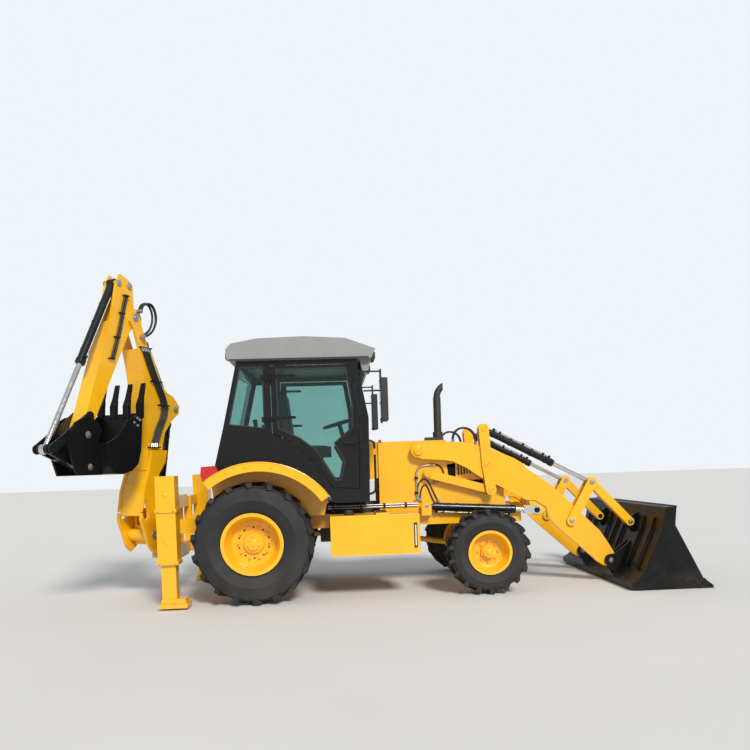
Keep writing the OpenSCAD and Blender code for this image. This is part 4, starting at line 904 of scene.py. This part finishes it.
class LOADER_OT_hoses(bpy.types.Operator):
    """Lay the hydraulic hoses of the loader and of the digging arm"""
    bl_idname = "loader.hoses"
    bl_label = "Hoses"

    def execute(self, context):
        radius = context.scene.loader_fittings.hose
        ends, collars = bmesh.new(), bmesh.new()
        tower = [[(1.845, 1.04), (1.838, 1.09), (1.852, 1.2), (1.905, 1.262), (1.965, 1.24), (2.01, 1.15),
                  (2.05, 1.06), (2.085, 1.0)],
                 [(1.87, 1.025), (1.872, 1.08), (1.89, 1.16), (1.928, 1.2), (1.96, 1.17), (1.99, 1.09),
                  (2.02, 1.02), (2.05, 0.965)],
                 [(2.026, 1.428), (2.07, 1.426), (2.12, 1.4), (2.15, 1.34), (2.14, 1.28), (2.09, 1.24),
                  (2.04, 1.225)]]
        arm = [(2.262, 1.684), (2.262, 1.74), (2.29, 1.8), (2.35, 1.838), (2.43, 1.832), (2.492, 1.785),
               (2.52, 1.71), (2.524, 1.642)]
        for side, hand in SIDES:
            for number, run in enumerate(tower):
                points = at_y(run, 0.41 * hand)
                tube(f"tower_hose_{side}_{number}", points, radius * 0.68, "chassis")
                for a, d in both_ends(points):
                    stacked(ends, a, d, [(-0.012, 0.03, radius + 0.004, 12),
                                         (-0.018, 0.004, radius + 0.006, 6)])
            for number, off in enumerate((-0.016, 0.016)):
                points = at_y(arm, (0.47 + off) * hand)
                tube(f"arm_hose_{side}_{number}", points, radius, "loader_arms")
                for x, y, z in (points[0], points[-1]):
                    rod(collars, (x, y, z - 0.006), (x, y, z + 0.034), radius + 0.004, 12)
        finish_piece("hose_ends", ends, "chassis", "steel", 0.0008)
        finish_piece("arm_hose_ends", collars, "loader_arms", "steel", 0.0008)
        # the bundle up the boom's side, held by four clips
        boom_ends, brackets = bmesh.new(), bmesh.new()
        route = [(0.13, 1.745), (0.095, 1.83), (0.03, 1.96), (-0.05, 2.08), (-0.085, 2.2), (-0.05, 2.33),
                 (0.03, 2.47), (0.11, 2.62), (0.175, 2.76), (0.215, 2.86)]
        for number in range(4):
            points = [hoe_point(r + 0.031 * number, z, -0.136) for r, z in route]
            tube(f"boom_hose_{number}", points, radius, "boom")
            for a, d in both_ends(points):
                stacked(boom_ends, a, d, [(-0.014, 0.034, radius + 0.0035, 12)])
        for r, z in ((0.18, 1.735), (-0.02, 2.23), (0.095, 2.5), (0.258, 2.868)):
            clip(brackets, hoe_point(r - 0.085, z, -0.118), hoe_point(r + 0.085, z, -0.118),
                 (0.01, 0.005, 0.008), 0.036, 0.04)
        finish_piece("boom_hose_ends", boom_ends, "boom", "steel", 0.0008)
        finish_piece("boom_clamps", brackets, "boom", "black")
        # slack loops beside the dipper pivot
        for number in range(3):
            y = -0.138 - 0.03 * (number % 2)
            # each loop swings out further than the one before, and its ends move less than its middle
            g = 0.03 * number
            loop = [(0.318 - g * 0.3, 2.985), (0.262 - g, 3.02), (0.175 - g, 3.09), (0.122 - g, 3.2),
                    (0.135 - g, 3.31), (0.205 - g, 3.372), (0.3 - g * 0.3, 3.345), (0.352 - g * 0.3, 3.268)]
            tube(f"pivot_loop_{number}", [hoe_point(r, z, y) for r, z in loop], radius, "boom")
        bulk = bmesh.new()
        for r, z in ((0.318, 2.985), (0.352, 3.262)):
            a = hoe_point(r, z, -0.118)
            rod(bulk, a, a - HOE_SIDE * 0.066, 0.024, 6)
        finish_piece("loop_bulkheads", bulk, "boom", "steel", 0.001)
        # hoses along the dipper to the bucket ram
        route = [(0.47, 3.42), (0.505, 3.36), (0.548, 3.23), (0.59, 3.09), (0.64, 2.95), (0.695, 2.81),
                 (0.745, 2.69)]
        for number in range(2):
            points = [hoe_point(r + 0.032 * number, z, -0.103) for r, z in route]
            tube(f"dipper_hose_{number}", points, radius * 0.9, "dipper")
        clips = bmesh.new()
        for r, z in ((0.5, 3.41), (0.575, 3.205), (0.668, 2.93), (0.765, 2.685)):
            clip(clips, hoe_point(r - 0.03, z, -0.087), hoe_point(r + 0.045, z, -0.087),
                 (0.008, 0.004, 0.006), 0.03, 0.033)
        finish_piece("dipper_clips", clips, "dipper", "black")
        return {"FINISHED"}


class LOADER_OT_digger(bpy.types.Operator):
    """Add pin caps, glands, tooth adaptors and bolts to the digging arm and stabilizers"""
    bl_idname = "loader.digger"
    bl_label = "Digging arm fittings"

    def execute(self, context):
        # pin caps: body, then pivot, face distance and radius of each
        for body, rows in (("boom", [(FOOT, 0.178, 0.052), (ELBOW, 0.126, 0.038), (KNUCKLE, 0.12, 0.05)]),
                           ("dipper", [(TAIL, 0.094, 0.038), (RAM2, 0.094, 0.038)]),
                           ("hoe_bucket", [(HOE, 0.138, 0.038), (EAR, 0.138, 0.036)])):
            bm = bmesh.new()
            for (r, z), y, radius in rows:
                for sign in (-1, 1):
                    at, out = hoe_point(r, z, y * sign), HOE_SIDE * sign
                    turned(bm, [(0, 0.009), (radius * 0.4, 0.009), (radius * 0.45, 0.006),
                                (radius * 0.94, 0.006), (radius, 0.002), (radius, -0.004)], at, out, 32)
                    bolt(bm, at + Vector((0, 0, radius * 0.66)) + out * 0.005, out, 0.008, 0.006)
                    stacked(bm, at, out, [(0.008, 0.018, 0.004, 8)])
            finish_piece(f"{body.removeprefix('hoe_')}_caps", bm, body, "steel", 0.0008)
        # glands and ports of the three rams, the boom's on its front and the others' on the right
        front = HOE_SIDE.cross(hoe_point(*ELBOW) - hoe_point(*RAM)).normalized()
        for name, start, end, radius, gland, out in (("boom", RAM, ELBOW, 0.058, 0.975, front),
                                                     ("dipper", ELBOW, TAIL, 0.048, 0.833, -HOE_SIDE),
                                                     ("bucket", RAM2, KNEE, 0.046, 1.072, -HOE_SIDE)):
            a = hoe_point(*start)
            d = (hoe_point(*end) - a).normalized()
            bm, lines = bmesh.new(), bmesh.new()
            turned(bm, [(0.03, 0.012), (radius, 0.012), (radius + 0.004, 0.008), (radius + 0.004, 0.0)],
                   a + d * gland, d, 40)
            for distance in (0.2, gland - 0.07):
                stacked(bm, a + d * distance, out, [(radius - 0.004, radius + 0.02, 0.014, 6)])
            for distance in (0.3, 0.55, gland - 0.16):
                band(bm, a + d * distance, d, radius, 0.003, 0.012)
            stacked(lines, a + out * (radius + 0.012), d, [(0.2, gland - 0.07, 0.007, 10)])
            finish_piece(f"{name}_ram_gland", bm, f"{name}_tube", "black", 0.0008)
            finish_piece(f"{name}_ram_line", lines, f"{name}_tube", "steel")
        # tooth adaptors with their pins
        adaptor = [(0.54, 2.045), (0.588, 2.045), (0.584, 2.19), (0.548, 2.265), (0.52, 2.258), (0.53, 2.18)]
        bm = bmesh.new()
        for y in (-0.27, -0.09, 0.09, 0.27):
            for sign in (-1, 1):
                inner = [hoe_point(r, z, y + 0.0285 * sign) for r, z in adaptor]
                rows = [[bm.verts.new(p + HOE_SIDE * off * sign) for p in inner] for off in (0, 0.007)]
                for row in rows:
                    bm.faces.new(row)
                for k in range(-1, 5):
                    bm.faces.new((rows[0][k], rows[0][k + 1], rows[1][k + 1], rows[1][k]))
                stacked(bm, hoe_point(0.553, 2.205, y + 0.0355 * sign), HOE_SIDE * sign,
                        [(-0.002, 0.006, 0.011, 12)])
        finish_piece("tooth_adaptors", bm, "hoe_bucket", "bucket", 0.001, recalc=True)
        bm = bmesh.new()
        for sign in (-1, 1):
            for r, z in ((0.6, 2.02), (0.64, 1.96), (0.69, 1.99), (0.64, 2.04)):
                bolt(bm, hoe_point(r, z, 0.3 * sign), HOE_SIDE * sign, 0.013, 0.009)
        finish_piece("bucket_bolts", bm, "hoe_bucket", "steel", 0.001)
        # stabilizers: collar bolts and seams, plugs and the foot's bolts and pin
        for side, hand in SIDES:
            out, fixed, leg = Vector((0, hand, 0)), bmesh.new(), bmesh.new()
            for x in (-0.96, -0.8):
                for z in (0.492, 1.04):
                    bolt(fixed, (x, 1.112 * hand, z), out, 0.013, 0.009)
            for z in (0.48, 0.504):
                rod(fixed, (-0.985, 1.112 * hand, z), (-0.775, 1.112 * hand, z), 0.003, 8)
            for z in (0.7, 1.2):
                turned(fixed, [(0, 0.006), (0.02, 0.006), (0.026, 0.002), (0.026, -0.002)],
                       (-0.88, 1.1 * hand, z), out, 24)
            for x in (-0.95, -0.73):
                for y in (0.9, 1.1):
                    bolt(leg, (x, y * hand, 0.06), (0, 0, 1), 0.012, 0.008)
            for sign in (-1, 1):
                turned(leg, [(0, 0.007), (0.018, 0.007), (0.022, 0.003), (0.022, -0.002)],
                       (-0.84, (1.0 + 0.09 * sign) * hand, 0.085), out * sign, 24)
            finish_piece(f"stabilizer_bolts_{side}", fixed, "chassis", "yellow", 0.0012)
            finish_piece(f"foot_bolts_{side}", leg, f"stab_leg_{side}", "yellow", 0.0012)
        # clamp nuts of the side-shift carriage
        bm = bmesh.new()
        for y in (-0.2, 0.2):
            stacked(bm, Vector((-1.04, y, 0.488)), Vector((-1, 0, 0)),
                    [(0, 0.006, 0.03, 20), (0.004, 0.016, 0.021, 6), (0.014, 0.02, 0.012, 12)])
        finish_piece("carriage_nuts", bm, "carriage", "steel", 0.001)
        return {"FINISHED"}


class LOADER_OT_edges(bpy.types.Operator):
    """Add bolts, ribs and wear plates to the loader bucket"""
    bl_idname = "loader.edges"
    bl_label = "Loader bucket fittings"

    def execute(self, context):
        bm = bmesh.new()
        for i in range(10):
            y = -1.035 + 0.23 * i
            turned(bm, [(0, 0.007), (0.013, 0.007), (0.019, 0.0), (0.019, -0.003)], (4.835, y, 0.0295),
                   (0, 0, 1), 24)
        finish_piece("edge_bolts", bm, "bucket", "steel")
        bm = bmesh.new()
        for hand in (-1, 1):
            # wear plate along the side's lower front corner
            slab(bm, [(4.6, 0.03), (4.93, 0.03), (4.85, 0.11), (4.6, 0.12)], 1.15 * hand, 1.156 * hand)
            for x, z in ((4.64, 0.075), (4.74, 0.075), (4.83, 0.07)):
                bolt(bm, (x, 1.156 * hand, z), (0, hand, 0), 0.012, 0.008)
        # stiffener under the lip
        rod(bm, (4.548, -1.145, 0.895), (4.548, 1.145, 0.895), 0.013, 12)
        # ribs across the back
        for y in (-0.95, -0.7, -0.23, 0.0, 0.23, 0.7, 0.95):
            slab(bm, [(4.184, 0.206), (4.372, 0.636), (4.402, 0.77), (4.384, 0.77), (4.346, 0.64),
                      (4.158, 0.215)],
                 y - 0.006, y + 0.006)
        finish_piece("bucket_ribs", bm, "bucket", "bucket", 0.0015, recalc=True)
        return {"FINISHED"}


class LOADER_OT_stage(bpy.types.Operator):
    """Set up the floor, the light and the camera"""
    bl_idname = "loader.stage"
    bl_label = "Stage"

    def execute(self, context):
        stage = context.scene.loader_stage
        bm = bmesh.new()
        bmesh.ops.create_grid(bm, x_segments=1, y_segments=1, size=60.0)
        mesh = bpy.data.meshes.new("floor")
        bm.to_mesh(mesh)
        bm.free()
        floor = bpy.data.objects.new("floor", mesh)
        floor.location.z = -0.002
        context.scene.collection.objects.link(floor)
        n, shader = blank_material("pale floor")
        coords = n.add("ShaderNodeTexCoord").outputs["Object"]
        n.put(n.mix(n.noise(coords, 0.7, 4.0), (0.62, 0.61, 0.59), (0.66, 0.65, 0.63)),
              shader.inputs["Base Color"])
        shader.inputs["Roughness"].default_value = 0.9
        mesh.materials.append(MATERIALS["pale floor"])
        world = bpy.data.worlds.new("studio")
        context.scene.world = world
        world.use_nodes = True
        w = Nodes(world.node_tree)
        sky = world.node_tree.nodes["Background"]
        seen = w.add("ShaderNodeBackground")
        for node, tint, strength in ((sky, (0.86, 0.92, 1.0), stage.fill), (seen, (0.86, 0.9, 0.94), 1.0)):
            w.feed(tint, node.inputs["Color"])
            w.feed(strength, node.inputs["Strength"])
        pick = w.add("ShaderNodeMixShader")
        w.put(w.add("ShaderNodeLightPath").outputs["Is Camera Ray"], pick.inputs[0])
        w.put(sky.outputs[0], pick.inputs[1])
        w.put(seen.outputs[0], pick.inputs[2])
        w.put(pick.outputs[0], world.node_tree.nodes["World Output"].inputs["Surface"])
        lamp = bpy.data.lights.new("key", "SUN")
        lamp.energy = stage.key
        lamp.angle = radians(14)
        lamp.color = (1.0, 0.96, 0.9)
        key = bpy.data.objects.new("key", lamp)
        azimuth, height = radians(18), radians(38)
        shine = Vector((-sin(azimuth) * cos(height), cos(azimuth) * cos(height), -sin(height)))
        key.rotation_euler = shine.to_track_quat("-Z", "Y").to_euler()
        context.scene.collection.objects.link(key)
        # the photo's camera: its place, where it looks, its lean, and the photo's horizon in pixels
        eye = (0.8758, -8.6112, 1.4423)
        yaw, pitch, roll = 0.0576, -0.0335, -0.0326
        horizon, middle, width = 489.3, 375.0, 750.0
        look = Vector((sin(yaw) * cos(pitch), cos(yaw) * cos(pitch), sin(pitch)))
        level = Vector((cos(yaw), -sin(yaw), 0))
        above = level.cross(look)
        right = level * cos(roll) + above * sin(roll)
        up = above * cos(roll) - level * sin(roll)
        lens = bpy.data.cameras.new("photo view")
        lens.lens = stage.lens
        lens.sensor_width = 36.0
        lens.shift_y = (horizon - middle) / width
        camera = bpy.data.objects.new("photo view", lens)
        camera.matrix_world = Matrix((*zip(right, up, -look, eye), (0, 0, 0, 1)))
        context.scene.collection.objects.link(camera)
        context.scene.camera = camera
        context.scene.view_settings.view_transform = "Standard"
        return {"FINISHED"}


class LOADER_PT_panel(bpy.types.Panel):
    """Sizes, colours and buttons for the backhoe loader"""
    bl_idname = "LOADER_PT_panel"
    bl_label = "Backhoe Loader"
    bl_space_type = "VIEW_3D"
    bl_region_type = "UI"
    bl_category = "Loader"

    def draw(self, context):
        for group in (context.scene.loader_paint, context.scene.loader_fittings, context.scene.loader_stage):
            column = self.layout.column()
            for key in group.__annotations__:
                column.prop(group, key)
        for operator in OPERATORS:
            self.layout.operator(operator.bl_idname)


OPERATORS = [LOADER_OT_finishes, LOADER_OT_wheels, LOADER_OT_pins, LOADER_OT_cylinders, LOADER_OT_cab,
             LOADER_OT_body, LOADER_OT_hoses, LOADER_OT_digger, LOADER_OT_edges, LOADER_OT_stage]
GROUP_CLASSES = [LoaderPaint, LoaderFittings, LoaderStage]


def register():
    for cls in GROUP_CLASSES + OPERATORS + [LOADER_PT_panel]:
        bpy.utils.register_class(cls)
    bpy.types.Scene.loader_paint = PointerProperty(type=LoaderPaint)
    bpy.types.Scene.loader_fittings = PointerProperty(type=LoaderFittings)
    bpy.types.Scene.loader_stage = PointerProperty(type=LoaderStage)


def unregister():
    del bpy.types.Scene.loader_stage
    del bpy.types.Scene.loader_fittings
    del bpy.types.Scene.loader_paint
    for cls in reversed(GROUP_CLASSES + OPERATORS + [LOADER_PT_panel]):
        bpy.utils.unregister_class(cls)


def main():
    register()
    bpy.ops.loader.finishes()
    bpy.ops.loader.wheels()
    bpy.ops.loader.pins()
    bpy.ops.loader.cylinders()
    bpy.ops.loader.cab()
    bpy.ops.loader.body()
    bpy.ops.loader.hoses()
    bpy.ops.loader.digger()
    bpy.ops.loader.edges()
    bpy.ops.loader.stage()


if __name__ == "__main__":
    main()
